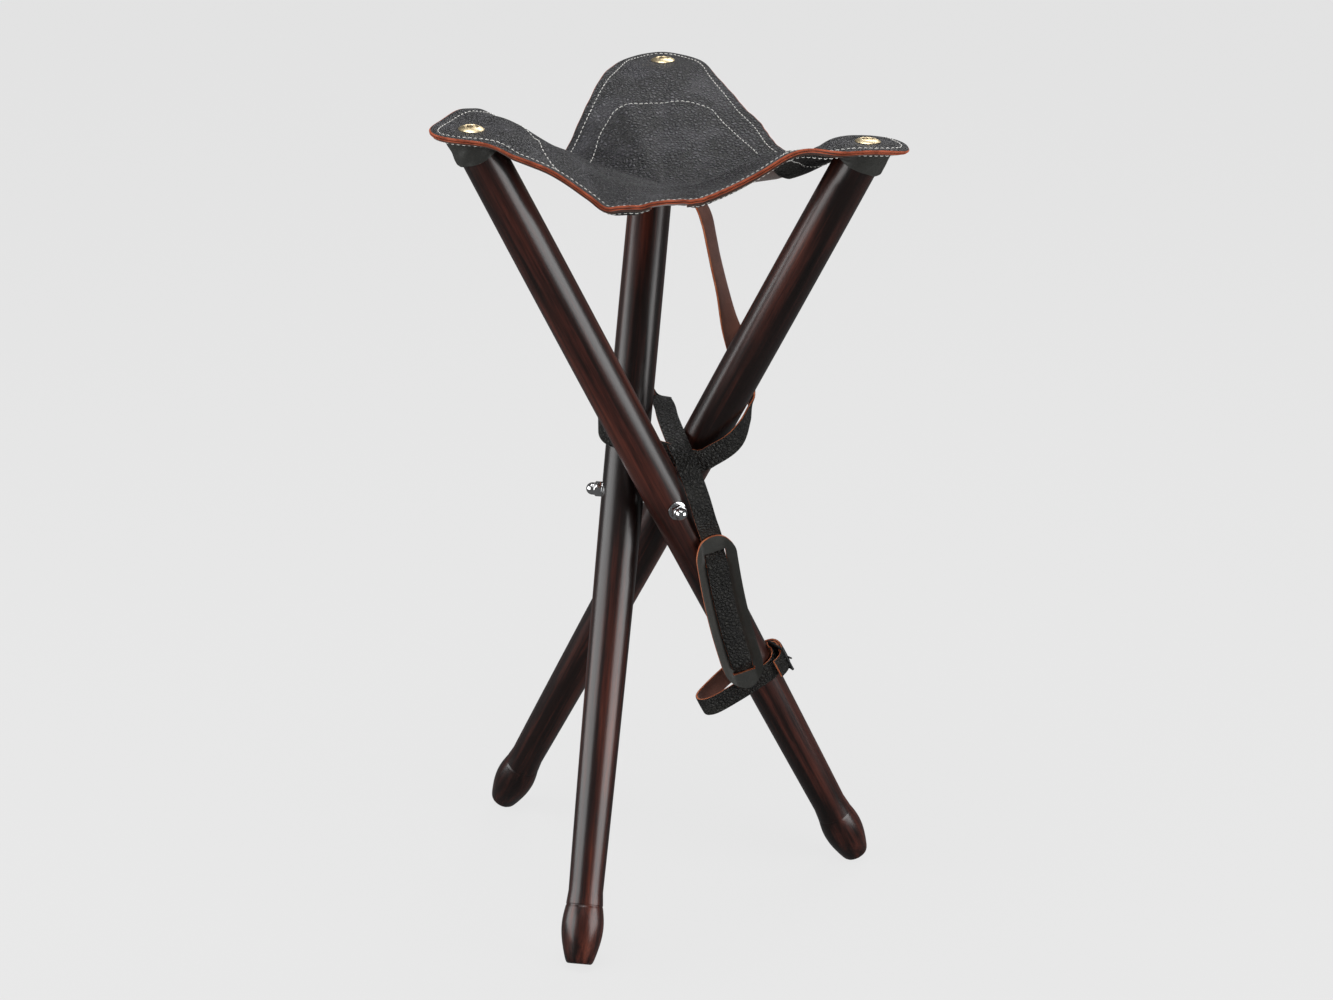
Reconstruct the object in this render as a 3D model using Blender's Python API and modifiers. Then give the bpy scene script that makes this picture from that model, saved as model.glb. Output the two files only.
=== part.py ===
# Folding tripod stool: three turned legs on a three-way bolt, a three-lobed leather seat
# screwed to the leg tops, and a leather carry strap with a shoulder pad and a buckled loop.
# Metres, +Z up, the origin on the floor below the middle of the whole stool.
import math

import bmesh
import bpy
import numpy as np
from mathutils import Matrix, Vector

# Driving dimensions.
CLEARANCE = 0.0003
SPLAY = math.radians(28.43)
HUB_HEIGHT = 0.3900
ARM_OFFSET = 0.0316
ARM_AZIMUTH = {"a": 300.0, "b": 60.0, "c": 180.0}
MIDDLE_X = -0.0164
MIDDLE_Y = -0.0079

# Legs, all distances measured along the leg from the bolt.
LEG_DOWN = 0.4386
LEG_SPARE = 0.0152
FOOT_LENGTH = 0.0540
SHAFT_RADIUS = 0.0199
SHAFT_TAPER = 0.0016
SHAFT_BULGE = 0.0013
SHAFT_SPAN = 0.3
FOOT_PROFILE = [(0.0159, 0.051), (0.0173, 0.047), (0.0186, 0.042), (0.01925, 0.036), (0.0191, 0.030),
                (0.0181, 0.022), (0.0163, 0.014), (0.0142, 0.0065), (0.0129, 0.0028),
                (0.0116, 0.0006), (0.0105, 0.0)]
LEG_STEPS = 26
SHAFT_RINGS = 9

# Hardware on the bolt.
ARM_RADIUS = 0.0040
BOSS_FLAT = 0.0119
BOSS_HEIGHT = 0.0105
SPOT_DEPTH_AT = 0.0175
SPOT_RADIUS = 0.0092
SPOT_BEYOND = 0.0300
WASHER_RADIUS = 0.0085
WASHER_THICK = 0.0016
NUT_FLATS = 0.0130
NUT_HEX_HEIGHT = 0.0065
NUT_HEIGHT = 0.0150
NUT_THREAD = 0.0105
ARM_TIP_RADIUS = 0.0032
ARM_TIP = 0.0008
DOME_RADIUS = 0.0058
DOME_HEIGHT = 0.0060
CHAMFER_TOP = 0.0061
CHAMFER_WIDE = 0.0082
CHAMFER_LOW = 0.0070
CHAMFER_DROP = 0.0009

# Seat leather.
SEAT_TURN = 9.14
TOP_THICK = 0.0030
LINING_THICK = 0.0022
PATCH_THICK = 0.0020
LAYER_GAP = 0.0005
MIDDLE_RISE = 0.2950
DISC_RISE = {"a": 0.3665, "b": 0.3630, "c": 0.3650}
MEAN_RISE = sum(DISC_RISE.values()) / 3.0
DISC_BEYOND = 0.0015
DISC_OUT = MEAN_RISE * math.tan(SPLAY) + DISC_BEYOND
DISC_TILT = {"a": -0.05, "b": -0.04, "c": -0.01}
DISC_FLAT_RADIUS = 0.028
DISC_BLEND = 0.022

# Rim of the seat: angle from a lobe's axis, distance out, and height above the bolt.
RIM_ANGLE = [-60, -45, -30, -18, -9, 0, 9, 18, 30, 45]
RIM_REACH = [0.118, 0.1273, 0.1435, 0.1735, 0.2130, 0.2375, 0.2130, 0.1735, 0.1435, 0.1273]
RIM_RISE = {
    "a": [0.3100, 0.3295, 0.3495, 0.3700, 0.3705, 0.3665, 0.3620, 0.3435, 0.3195, 0.3060],
    "b": [0.3115, 0.3210, 0.3350, 0.3630, 0.3630, 0.3620, 0.3570, 0.3530, 0.3400, 0.3285],
    "c": [0.3285, 0.3365, 0.3475, 0.3595, 0.3655, 0.3655, 0.3640, 0.3620, 0.3400, 0.3065],
}
SPOKES = [-50, -41, -33, -26.5, -21.5, -17, -13, -9.5, -6.5, -3.3,
          0, 3.3, 6.5, 9.5, 13, 17, 21.5, 26.5, 33, 41, 50]
RINGS = [0.22, 0.42, 0.60, 0.74, 0.84, 0.93, 1.0]
LOBE_SPREAD = 21.0
LOBE_CLIMB = 0.80
VALLEY_POWER = 1.6

# Fixings through the seat.
CUP_RADIUS = 0.0115
CUP_HEIGHT = 0.0028
CUP_PROFILE = [(0.0058, 0.0), (0.0072, -0.0001), (0.0092, -0.0008), (0.0108, -0.0018),
               (CUP_RADIUS, -0.0024), (CUP_RADIUS, -CUP_HEIGHT), (0.0033, -CUP_HEIGHT)]
SCREW_HEAD_RADIUS = 0.0049
SCREW_HEAD_HEIGHT = 0.0033
SCREW_RADIUS = 0.00225
SCREW_LENGTH = 0.028
SCREW_CLEARANCE = 0.0004
SCREW_HOLE_DEPTH = 0.0320
CROSS_LONG = 0.0060
CROSS_WIDE = 0.0012
CROSS_DEEP = 0.0017
SLEEVE_INNER = 0.0205
SLEEVE_OUTER = 0.0240
SLEEVE_LOW = 0.0330

# How far the cutters reach past what they cut.
ROOM = 0.0600
LAYER_ROOM = 0.0080

for old in list(bpy.data.objects):
    bpy.data.objects.remove(old, do_unlink=True)

parts = bpy.data.collections.new("tripod_stool")
cutters = bpy.data.collections.new("cutters")
bpy.context.scene.collection.children.link(parts)
bpy.context.scene.collection.children.link(cutters)


def material(name, colour, roughness, metallic=0.0):
    made = bpy.data.materials.new(name)
    made.use_nodes = True
    shader = made.node_tree.nodes["Principled BSDF"]
    shader.inputs["Base Color"].default_value = (*colour, 1.0)
    shader.inputs["Roughness"].default_value = roughness
    shader.inputs["Metallic"].default_value = metallic
    return made


wood = material("stained_wood", (0.045, 0.014, 0.010), 0.25)
zinc = material("bright_zinc", (0.62, 0.62, 0.63), 0.25, 1.0)
brass = material("brass", (0.78, 0.60, 0.28), 0.25, 1.0)
steel = material("screw_steel", (0.55, 0.50, 0.40), 0.35, 1.0)
black_leather = material("black_leather", (0.020, 0.020, 0.022), 0.55)
lining_leather = material("lining_leather", (0.10, 0.045, 0.025), 0.85)
strap_leather = material("strap_leather", (0.022, 0.022, 0.020), 0.50)
buckle_black = material("black_steel", (0.03, 0.03, 0.03), 0.35, 1.0)


def add_object(name, mesh, paint, collection, matrix=None):
    made = bpy.data.objects.new(name, mesh)
    collection.objects.link(made)
    if matrix is not None:
        made.matrix_world = matrix
    if paint is not None:
        if mesh.materials:
            mesh.materials[0] = paint
        else:
            mesh.materials.append(paint)
    if collection is cutters:
        made.hide_render = True
        made.display_type = "WIRE"
    return made


def turned(name, profile, steps, paint=None, collection=parts, matrix=None):
    # The profile holds (radius, height) pairs from the top, down the outer side.
    mesh = bpy.data.meshes.new(name)
    shape = bmesh.new()
    ring = [shape.verts.new((radius, 0.0, height)) for radius, height in profile]
    for first, second in zip(ring, ring[1:]):
        shape.edges.new((first, second))
    closed = profile[0][0] > 0.0001
    if closed:
        shape.edges.new((ring[-1], ring[0]))
    shape.to_mesh(mesh)
    shape.free()
    made = add_object(name, mesh, paint, collection, matrix)
    screw = made.modifiers.new("turn", "SCREW")
    screw.axis = "Z"
    screw.angle = 2.0 * math.pi
    screw.steps = steps
    screw.render_steps = steps
    screw.use_merge_vertices = True
    screw.merge_threshold = 0.00002
    screw.use_smooth_shade = True
    return made


def box(name, size, centre, collection=cutters, matrix=None):
    mesh = bpy.data.meshes.new(name)
    shape = bmesh.new()
    bmesh.ops.create_cube(shape, size=1.0)
    for vert in shape.verts:
        vert.co = Vector([vert.co[i] * size[i] + centre[i] for i in range(3)])
    shape.to_mesh(mesh)
    shape.free()
    return add_object(name, mesh, None, collection, matrix)


def cut(target, cutter, operation="DIFFERENCE"):
    change = target.modifiers.new(cutter.name, "BOOLEAN")
    change.operation = operation
    change.solver = "EXACT"
    change.object = cutter


def direction(degrees):
    return Vector((math.cos(math.radians(degrees)), math.sin(math.radians(degrees)), 0.0))


def frame(origin, x_axis, z_axis):
    # A placement from an origin, a Z axis and an X axis at right angles to it.
    z_axis = z_axis.normalized()
    x_axis = (x_axis - z_axis * x_axis.dot(z_axis)).normalized()
    y_axis = z_axis.cross(x_axis)
    turned_axes = Matrix((x_axis, y_axis, z_axis)).transposed().to_4x4()
    return Matrix.Translation(origin) @ turned_axes


hub = Vector((MIDDLE_X, MIDDLE_Y, HUB_HEIGHT))
up = Vector((0.0, 0.0, 1.0))


def lobe_axis(name):
    return ARM_AZIMUTH[name] - 90.0 + SEAT_TURN


def leg_up(name):
    return math.cos(SPLAY) * up + math.sin(SPLAY) * direction(ARM_AZIMUTH[name] - 90.0)


def leg_frame(name):
    arm = direction(ARM_AZIMUTH[name])
    return frame(hub + ARM_OFFSET * arm, arm, leg_up(name))


# Seat surface, one rule for every layer of leather.
def rim_table():
    rows = []
    for name in "abc":
        for angle, reach, rise in zip(RIM_ANGLE, RIM_REACH, RIM_RISE[name]):
            rows.append((lobe_axis(name) % 360.0 + angle, reach, rise))
    rows.sort()
    return np.array(rows)


rim = rim_table()


def around_rim(degrees, column):
    # A smooth closed curve through the rim's points.
    angles = np.concatenate([rim[-3:, 0] - 360.0, rim[:, 0], rim[:3, 0] + 360.0])
    values = np.concatenate([rim[-3:, column], rim[:, column], rim[:3, column]])
    slopes = np.gradient(values, angles)
    wanted = (degrees - rim[0, 0]) % 360.0 + rim[0, 0]
    left = int(np.clip(np.searchsorted(angles, wanted, side="right") - 1, 0, len(angles) - 2))
    span = angles[left + 1] - angles[left]
    t = (wanted - angles[left]) / span
    ease = t * t * (3.0 - 2.0 * t)
    start = values[left] * (1.0 - ease) + (t ** 3 - 2.0 * t ** 2 + t) * span * slopes[left]
    return start + values[left + 1] * ease + (t ** 3 - t ** 2) * span * slopes[left + 1]


def smooth(t):
    t = min(max(t, 0.0), 1.0)
    return t * t * (3.0 - 2.0 * t)


def seat_top(share, degrees):
    # share is 0 at the middle and 1 at the rim.
    reach = float(around_rim(degrees, 1)) * share
    rise = float(around_rim(degrees, 2))
    off_axis = (degrees - lobe_axis("c") + 60.0) % 120.0 - 60.0
    lobe = math.exp(-(off_axis / LOBE_SPREAD) ** 2)
    climb = lobe * smooth(share / LOBE_CLIMB) + (1.0 - lobe) * share ** VALLEY_POWER
    height = MIDDLE_RISE + (rise - MIDDLE_RISE) * climb
    point = reach * direction(degrees)
    for name in "abc":
        out = direction(lobe_axis(name))
        side = up.cross(out)
        along = point.dot(out) - DISC_OUT
        across = point.dot(side)
        keep = smooth((math.hypot(along, across) - DISC_FLAT_RADIUS) / DISC_BLEND)
        flat = DISC_RISE[name] + DISC_TILT[name] * across
        height = flat * (1.0 - keep) + height * keep
    return hub + point + height * up


def seat_point(share, degrees, depth):
    # A point of the seat, moved down square to its surface.
    share_in = max(share, 0.02)
    step = 0.01
    along = seat_top(share_in + step, degrees) - seat_top(share_in - step, degrees)
    across = seat_top(share_in, degrees + 0.5) - seat_top(share_in, degrees - 0.5)
    normal = along.cross(across).normalized()
    if share < 0.01:
        normal = up
    return seat_top(share, degrees) - depth * normal


def sheet(name, rows, thickness, paint, pole=None, collection=parts, offset=-1.0):
    # Rows of points, outermost last; with a pole the rows are closed rings about it.
    mesh = bpy.data.meshes.new(name)
    shape = bmesh.new()
    grid = [[shape.verts.new(point) for point in row] for row in rows]
    count = len(grid[0])
    span = count if pole is not None else count - 1
    for inner, outer in zip(grid, grid[1:]):
        for i in range(span):
            j = (i + 1) % count
            shape.faces.new((inner[i], outer[i], outer[j]))
            shape.faces.new((inner[i], outer[j], inner[j]))
    if pole is not None:
        centre = shape.verts.new(pole)
        for i in range(count):
            shape.faces.new((centre, grid[0][i], grid[0][(i + 1) % count]))
    for face in shape.faces:
        face.smooth = True
    shape.to_mesh(mesh)
    shape.free()
    made = add_object(name, mesh, paint, collection)
    skin = made.modifiers.new("thickness", "SOLIDIFY")
    skin.thickness = thickness
    skin.offset = offset
    skin.use_even_offset = True
    return made


spokes = [lobe_axis("c") + turn + spoke for turn in (0.0, 120.0, 240.0) for spoke in SPOKES + [60.0]]


def seat_layer(name, depth, thickness, paint):
    rows = [[seat_point(share, spoke, depth) for spoke in spokes] for share in RINGS]
    return sheet(name, rows, thickness, paint, seat_point(0.0, 0.0, depth))


lining_depth = TOP_THICK + LAYER_GAP
patch_depth = lining_depth + LINING_THICK + LAYER_GAP
under_depth = patch_depth + PATCH_THICK
seat_leather = seat_layer("seat_leather", 0.0, TOP_THICK, black_leather)
seat_lining = seat_layer("seat_lining", lining_depth, LINING_THICK, lining_leather)

# A corner patch under each lobe: its inner edge is straight across and slopes out to the rim.
PATCH_AT = [0.0, 22.0, 34.0, 45.0, 52.0]
PATCH_INNER = [0.1120, 0.1180, 0.1070, 0.1070, 0.1130]
PATCH_EDGE = 0.975
PATCH_END = 52.0
PATCH_POINTS = 13


def lobe_layer(label, name, depth, thickness, paint, collection=parts, offset=-1.0):
    # One lobe of the seat's own grid, so that stacked layers stay parallel.
    angles = [lobe_axis(name) + spoke for spoke in [-60.0] + SPOKES + [60.0]]
    rows = [[seat_point(share, angle, depth) for angle in angles] for share in RINGS[1:]]
    return sheet(label + name, rows, thickness, paint, None, collection, offset)


def prism(name, outline, low, high):
    mesh = bpy.data.meshes.new(name)
    shape = bmesh.new()
    face = shape.faces.new([shape.verts.new((x, y, low)) for x, y in outline])
    lifted = bmesh.ops.extrude_face_region(shape, geom=[face])
    for item in lifted["geom"]:
        if isinstance(item, bmesh.types.BMVert):
            item.co.z = high
    bmesh.ops.recalc_face_normals(shape, faces=shape.faces[:])
    shape.to_mesh(mesh)
    shape.free()
    return add_object(name, mesh, None, cutters)


def patch_outline(name):
    outer = []
    inner = []
    for k in range(-PATCH_POINTS, PATCH_POINTS + 1):
        spoke = PATCH_END * k / PATCH_POINTS
        way = direction(lobe_axis(name) + spoke)
        reach = float(around_rim(lobe_axis(name) + spoke, 1)) * PATCH_EDGE
        outer.append(hub + way * reach)
        if k % 2:
            inner.append(hub + way * float(np.interp(abs(spoke), PATCH_AT, PATCH_INNER)))
    return [(point.x, point.y) for point in outer + inner[::-1]]


def disc_frame(name):
    # On the seat's top surface at the fixing, Z square to the leather.
    out = direction(lobe_axis(name))
    side = up.cross(out)
    normal = (up - DISC_TILT[name] * side).normalized()
    origin = hub + DISC_OUT * out + DISC_RISE[name] * up
    return frame(origin, out, normal)


seat_along = MEAN_RISE / math.cos(SPLAY)
leg_reach = seat_along + LEG_SPARE

for name in "abc":
    patch = lobe_layer("corner_patch_", name, patch_depth, PATCH_THICK, lining_leather)
    edge = prism("patch_edge_" + name, patch_outline(name), HUB_HEIGHT + 0.7 * MIDDLE_RISE,
                 HUB_HEIGHT + 1.6 * MIDDLE_RISE)
    cut(patch, edge, "INTERSECT")
    place = disc_frame(name)
    leg_place = leg_frame(name)

    hole_radius = SCREW_RADIUS + SCREW_CLEARANCE
    hole = turned("screw_hole_" + name, [(0.0, LAYER_ROOM), (hole_radius, LAYER_ROOM),
                                         (hole_radius, -SCREW_HOLE_DEPTH), (0.0, -SCREW_HOLE_DEPTH)],
                  20, None, cutters, place)
    cut(seat_leather, hole)
    cut(seat_lining, hole)
    leg_hole = turned("leg_hole_" + name,
                      [(0.0, leg_reach + ROOM), (SLEEVE_INNER, leg_reach + ROOM),
                       (SLEEVE_INNER, seat_along - 2.0 * ROOM), (0.0, seat_along - 2.0 * ROOM)],
                      32, None, cutters, leg_place)
    cut(patch, leg_hole)

    # The turned leg with its ball foot, cut level under the seat and worn flat on the floor.
    profile = [(0.0, leg_reach)]
    for i in range(SHAFT_RINGS):
        along = leg_reach - (leg_reach + LEG_DOWN - FOOT_LENGTH) * i / (SHAFT_RINGS - 1)
        x = along / SHAFT_SPAN
        profile.append((SHAFT_RADIUS + SHAFT_TAPER * x - SHAFT_BULGE * x * x, along))
    profile += [(radius, height - LEG_DOWN) for radius, height in FOOT_PROFILE]
    profile.append((0.0, -LEG_DOWN))
    leg = turned("leg_" + name, profile, LEG_STEPS, wood, parts, leg_place)
    bore_radius = ARM_RADIUS + CLEARANCE
    spot = [(0.0, SPOT_BEYOND), (SPOT_RADIUS, SPOT_BEYOND), (SPOT_RADIUS, SPOT_DEPTH_AT),
            (bore_radius, SPOT_DEPTH_AT), (bore_radius, -SPOT_DEPTH_AT),
            (SPOT_RADIUS, -SPOT_DEPTH_AT), (SPOT_RADIUS, -SPOT_BEYOND), (0.0, -SPOT_BEYOND)]
    arm = direction(ARM_AZIMUTH[name])
    bore_place = frame(hub + ARM_OFFSET * arm, up, arm)
    cut(leg, turned("bore_" + name, spot, 32, None, cutters, bore_place))
    cut(leg, box("leg_top_" + name, (2.0 * ROOM, 2.0 * ROOM, 2.0 * ROOM),
                 (0.0, 0.0, ROOM - patch_depth), cutters, place))
    cut(leg, lobe_layer("seat_room_", name, patch_depth, LAYER_ROOM, None, cutters, 1.0))
    foot_out = LEG_DOWN * math.sin(SPLAY)
    cut(leg, box("floor_" + name, (3.0 * ROOM, 3.0 * ROOM, ROOM), (hub.x, hub.y, -ROOM / 2.0),
                 cutters, Matrix.Translation(-foot_out * direction(ARM_AZIMUTH[name] - 90.0))))
    cut(leg, hole)

    # The leather sleeve of the pocket round the leg's top.
    sleeve_wall = [(SLEEVE_INNER, leg_reach), (SLEEVE_OUTER, leg_reach),
                   (SLEEVE_OUTER, seat_along - SLEEVE_LOW), (SLEEVE_INNER, seat_along - SLEEVE_LOW)]
    sleeve = turned("pocket_sleeve_" + name, sleeve_wall, 32, black_leather, parts, leg_place)
    cut(sleeve, box("sleeve_top_" + name, (3.0 * ROOM, 3.0 * ROOM, 2.0 * ROOM),
                    (0.0, 0.0, ROOM - under_depth - CLEARANCE), cutters, place))
    room = lobe_layer("patch_room_", name, under_depth + CLEARANCE, LAYER_ROOM, None, cutters, 1.0)
    cut(sleeve, room)

    # The brass cup washer and its screw.
    cup_top = CLEARANCE + CUP_HEIGHT
    cup = [(radius, cup_top + height) for radius, height in CUP_PROFILE]
    turned("cup_washer_" + name, cup, 24, brass, parts, place)
    top = SCREW_HEAD_HEIGHT
    head = [(0.0, top), (0.45 * SCREW_HEAD_RADIUS, top - 0.0001),
            (0.82 * SCREW_HEAD_RADIUS, top - 0.0004), (SCREW_HEAD_RADIUS, top - 0.0009),
            (SCREW_RADIUS, top - 0.0035), (SCREW_RADIUS, 0.004 - SCREW_LENGTH), (0.0, -SCREW_LENGTH)]
    screw = turned("seat_screw_" + name, head, 18, steel, parts, place)
    cross_at = (0.0, 0.0, top - CROSS_DEEP + CUP_HEIGHT)
    slot = box("slot_" + name, (CROSS_LONG, CROSS_WIDE, 2.0 * CUP_HEIGHT), cross_at, cutters, place)
    cross = box("cross_" + name, (CROSS_WIDE, CROSS_LONG, 2.0 * CUP_HEIGHT), cross_at, cutters, place)
    cut(screw, slot)
    cut(screw, cross)

# The three-way bolt: a six-sided boss with three round arms.
boss_mesh = bpy.data.meshes.new("three_way_bolt")
boss_shape = bmesh.new()
boss_radius = BOSS_FLAT / math.cos(math.pi / 6)
bmesh.ops.create_cone(boss_shape, cap_ends=True, segments=6, radius1=boss_radius,
                      radius2=boss_radius, depth=BOSS_HEIGHT)
boss_shape.to_mesh(boss_mesh)
boss_shape.free()
bolt = add_object("three_way_bolt", boss_mesh, zinc, parts, Matrix.Translation(hub))
outer_seat = ARM_OFFSET + SPOT_DEPTH_AT + CLEARANCE
nut_seat = outer_seat + WASHER_THICK + CLEARANCE
arm_end = nut_seat + NUT_THREAD
hole_radius = ARM_RADIUS + CLEARANCE
for name in "abc":
    arm = direction(ARM_AZIMUTH[name])
    place = frame(hub, up, arm)
    bolt_arm = [(0.0, arm_end), (ARM_TIP_RADIUS, arm_end), (ARM_RADIUS, arm_end - ARM_TIP),
                (ARM_RADIUS, 0.0), (0.0, 0.0)]
    cut(bolt, turned("arm_" + name, bolt_arm, 24, None, cutters, place), "UNION")

    def washer(label, seat):
        ring = [(hole_radius, seat + WASHER_THICK), (WASHER_RADIUS, seat + WASHER_THICK),
                (WASHER_RADIUS, seat), (hole_radius, seat)]
        return turned(label, ring, 24, zinc, parts, place)

    washer("inner_washer_" + name, BOSS_FLAT + CLEARANCE)
    washer("outer_washer_" + name, outer_seat)

    # Acorn nut: a hexagon, a waist and a dome over a blind hole.
    nut_mesh = bpy.data.meshes.new("acorn_nut_" + name)
    nut_shape = bmesh.new()
    across = NUT_FLATS / math.cos(math.pi / 6) / 2.0
    bmesh.ops.create_cone(nut_shape, cap_ends=True, segments=6, radius1=across, radius2=across,
                          depth=NUT_HEX_HEIGHT,
                          matrix=Matrix.Translation((0.0, 0.0, nut_seat + NUT_HEX_HEIGHT / 2.0)))
    nut_shape.to_mesh(nut_mesh)
    nut_shape.free()
    nut = add_object("acorn_nut_" + name, nut_mesh, zinc, parts, place)
    hex_top = nut_seat + NUT_HEX_HEIGHT
    chamfer = [(0.0, nut_seat + 2.0 * NUT_HEIGHT), (CHAMFER_TOP, nut_seat + 2.0 * NUT_HEIGHT),
               (CHAMFER_TOP, hex_top + CLEARANCE), (CHAMFER_WIDE, hex_top - CHAMFER_DROP),
               (CHAMFER_WIDE, nut_seat + CHAMFER_DROP), (CHAMFER_LOW, nut_seat - CLEARANCE),
               (0.0, nut_seat - CLEARANCE)]
    cut(nut, turned("nut_chamfer_" + name, chamfer, 24, None, cutters, place), "INTERSECT")
    dome = [(0.0, nut_seat + NUT_HEIGHT)]
    dome_start = nut_seat + NUT_HEIGHT - DOME_HEIGHT
    for i in range(1, 6):
        angle = math.radians(18.0 * i)
        dome.append((DOME_RADIUS * math.sin(angle), dome_start + DOME_HEIGHT * math.cos(angle)))
    dome += [(DOME_RADIUS, hex_top - 0.001), (0.0, hex_top - 0.001)]
    cut(nut, turned("nut_dome_" + name, dome, 20, None, cutters, place), "UNION")
    blind = [(0.0, arm_end + 2.0 * CLEARANCE), (hole_radius, arm_end + CLEARANCE),
             (hole_radius, nut_seat - 0.001), (0.0, nut_seat - 0.001)]
    cut(nut, turned("nut_hole_" + name, blind, 16, None, cutters, place))

# Leather straps: ribbons swept along hand-placed routes.
STRAP_WIDTH = 0.0200
STRAP_THICK = 0.0022
ROUTE_STEPS = 3

# Carry strap: points relative to the bolt, each with the way its grain side faces.
CARRY_ROUTE = [
    ((0.0020, -0.0140, 0.2865), (0.00, 0.00, -1.00)),
    ((0.0180, -0.0190, 0.2865), (0.00, 0.00, -1.00)),
    ((0.0310, -0.0200, 0.2845), (-0.45, 0.15, -0.90)),
    ((0.0368, -0.0120, 0.2770), (-0.90, 0.30, -0.40)),
    ((0.0380, 0.0030, 0.2611), (-0.95, 0.30, 0.00)),
    ((0.0457, 0.0100, 0.2419), (-0.95, 0.30, 0.00)),
    ((0.0514, 0.0130, 0.2226), (-0.95, 0.30, 0.00)),
    ((0.0565, 0.0160, 0.1956), (-0.92, 0.35, 0.00)),
    ((0.0609, 0.0190, 0.1667), (-0.80, 0.60, 0.05)),
    ((0.0672, 0.0215, 0.1429), (-0.40, 0.90, 0.15)),
    ((0.0763, 0.0217, 0.1219), (0.30, 0.90, 0.25)),
    ((0.0859, 0.0134, 0.1017), (0.85, 0.50, 0.20)),
    ((0.0845, -0.0002, 0.0820), (1.00, -0.15, 0.10)),
    ((0.0723, -0.0100, 0.0619), (0.65, -0.75, 0.10)),
    ((0.0542, -0.0155, 0.0464), (0.25, -0.95, 0.10)),
    ((0.0397, -0.0168, 0.0415), (0.05, -1.00, 0.05)),
    ((0.0080, -0.0140, 0.0450), (-0.10, -1.00, 0.10)),
    ((-0.0100, -0.0090, 0.0475), (-0.25, -0.95, 0.25)),
    ((-0.0300, -0.0010, 0.0500), (-0.30, -0.85, 0.45)),
    ((-0.0495, 0.0060, 0.0540), (-0.85, -0.45, 0.20)),
    ((-0.0590, 0.0240, 0.0600), (-1.00, 0.10, 0.00)),
    ((-0.0548, 0.0497, 0.0670), (-0.65, 0.70, -0.35)),
    ((-0.0330, 0.0660, 0.0745), (0.00, 0.88, -0.47)),
    ((-0.0095, 0.0600, 0.0790), (0.80, 0.55, -0.20)),
    ((-0.0035, 0.0400, 0.0739), (1.00, 0.10, 0.05)),
    ((0.0064, 0.0100, 0.0688), (0.90, -0.20, 0.35)),
    ((0.0177, -0.0160, 0.0606), (0.60, -0.65, 0.45)),
    ((0.0285, -0.0320, 0.0450), (0.35, -0.90, 0.30)),
    ((0.0383, -0.0375, 0.0216), (0.30, -0.93, 0.20)),
    ((0.0474, -0.0365, -0.0053), (0.32, -0.93, 0.15)),
]

# Shoulder pad: its two ends relative to the bolt, the way it faces, and its section.
PAD_TOP = Vector((0.0588, -0.0334, -0.0258))
PAD_END = Vector((0.0958, -0.0125, -0.1820))
PAD_FACES = Vector((0.33, -0.93, 0.15))
PAD_WIDTH = 0.0380
PAD_THICK = 0.0030
PAD_LIP = 0.0045
PAD_SLOT_TOP = 0.0215
PAD_SLOT_LOW = 0.1385
PAD_SLOT_LONG = 0.0150
BEHIND_PAD = PAD_THICK / 2.0 + 2.0 * CLEARANCE + STRAP_THICK / 2.0


def through(points, steps):
    # A smooth curve through the points.
    first = [2.0 * a - b for a, b in zip(points[0], points[1])]
    last = [2.0 * a - b for a, b in zip(points[-1], points[-2])]
    line = [np.array(point, dtype=float) for point in [first] + list(points) + [last]]
    made = []
    for i in range(1, len(line) - 2):
        before, start, end, after = line[i - 1:i + 3]
        for k in range(steps):
            t = k / steps
            bend = 2.0 * before - 5.0 * start + 4.0 * end - after
            twist = 3.0 * start - before - 3.0 * end + after
            made.append(0.5 * (2.0 * start + (end - before) * t + bend * t * t + twist * t ** 3))
    made.append(line[-2])
    return [Vector(point) for point in made]


def ribbon(name, route, width, thickness, paint, steps=ROUTE_STEPS, collection=parts):
    # Sweeps a flat section along the route; each point says which way the grain faces.
    line = through([point for point, grain in route], steps)
    grains = through([grain for point, grain in route], steps)
    mesh = bpy.data.meshes.new(name)
    shape = bmesh.new()
    sections = []
    for i, (point, grain) in enumerate(zip(line, grains)):
        ahead = line[min(i + 1, len(line) - 1)] - line[max(i - 1, 0)]
        ahead.normalize()
        side = ahead.cross(grain).normalized()
        face = side.cross(ahead).normalized()
        corners = [(0.5, 0.5), (-0.5, 0.5), (-0.5, -0.5), (0.5, -0.5)]
        sections.append([shape.verts.new(point + side * width * a + face * thickness * b)
                         for a, b in corners])
    for first, second in zip(sections, sections[1:]):
        for i in range(4):
            j = (i + 1) % 4
            shape.faces.new((first[i], first[j], second[j], second[i]))
    shape.faces.new(sections[0][::-1])
    shape.faces.new(sections[-1])
    bmesh.ops.recalc_face_normals(shape, faces=shape.faces[:])
    shape.to_mesh(mesh)
    shape.free()
    return add_object(name, mesh, paint, collection)


pad_along = (PAD_END - PAD_TOP).normalized()
pad_long = (PAD_END - PAD_TOP).length
pad_side = PAD_FACES.cross(pad_along).normalized()
pad_face = pad_along.cross(pad_side).normalized()


def pad_point(along, across, lift):
    return PAD_TOP + pad_along * along + pad_side * across + pad_face * lift


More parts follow.
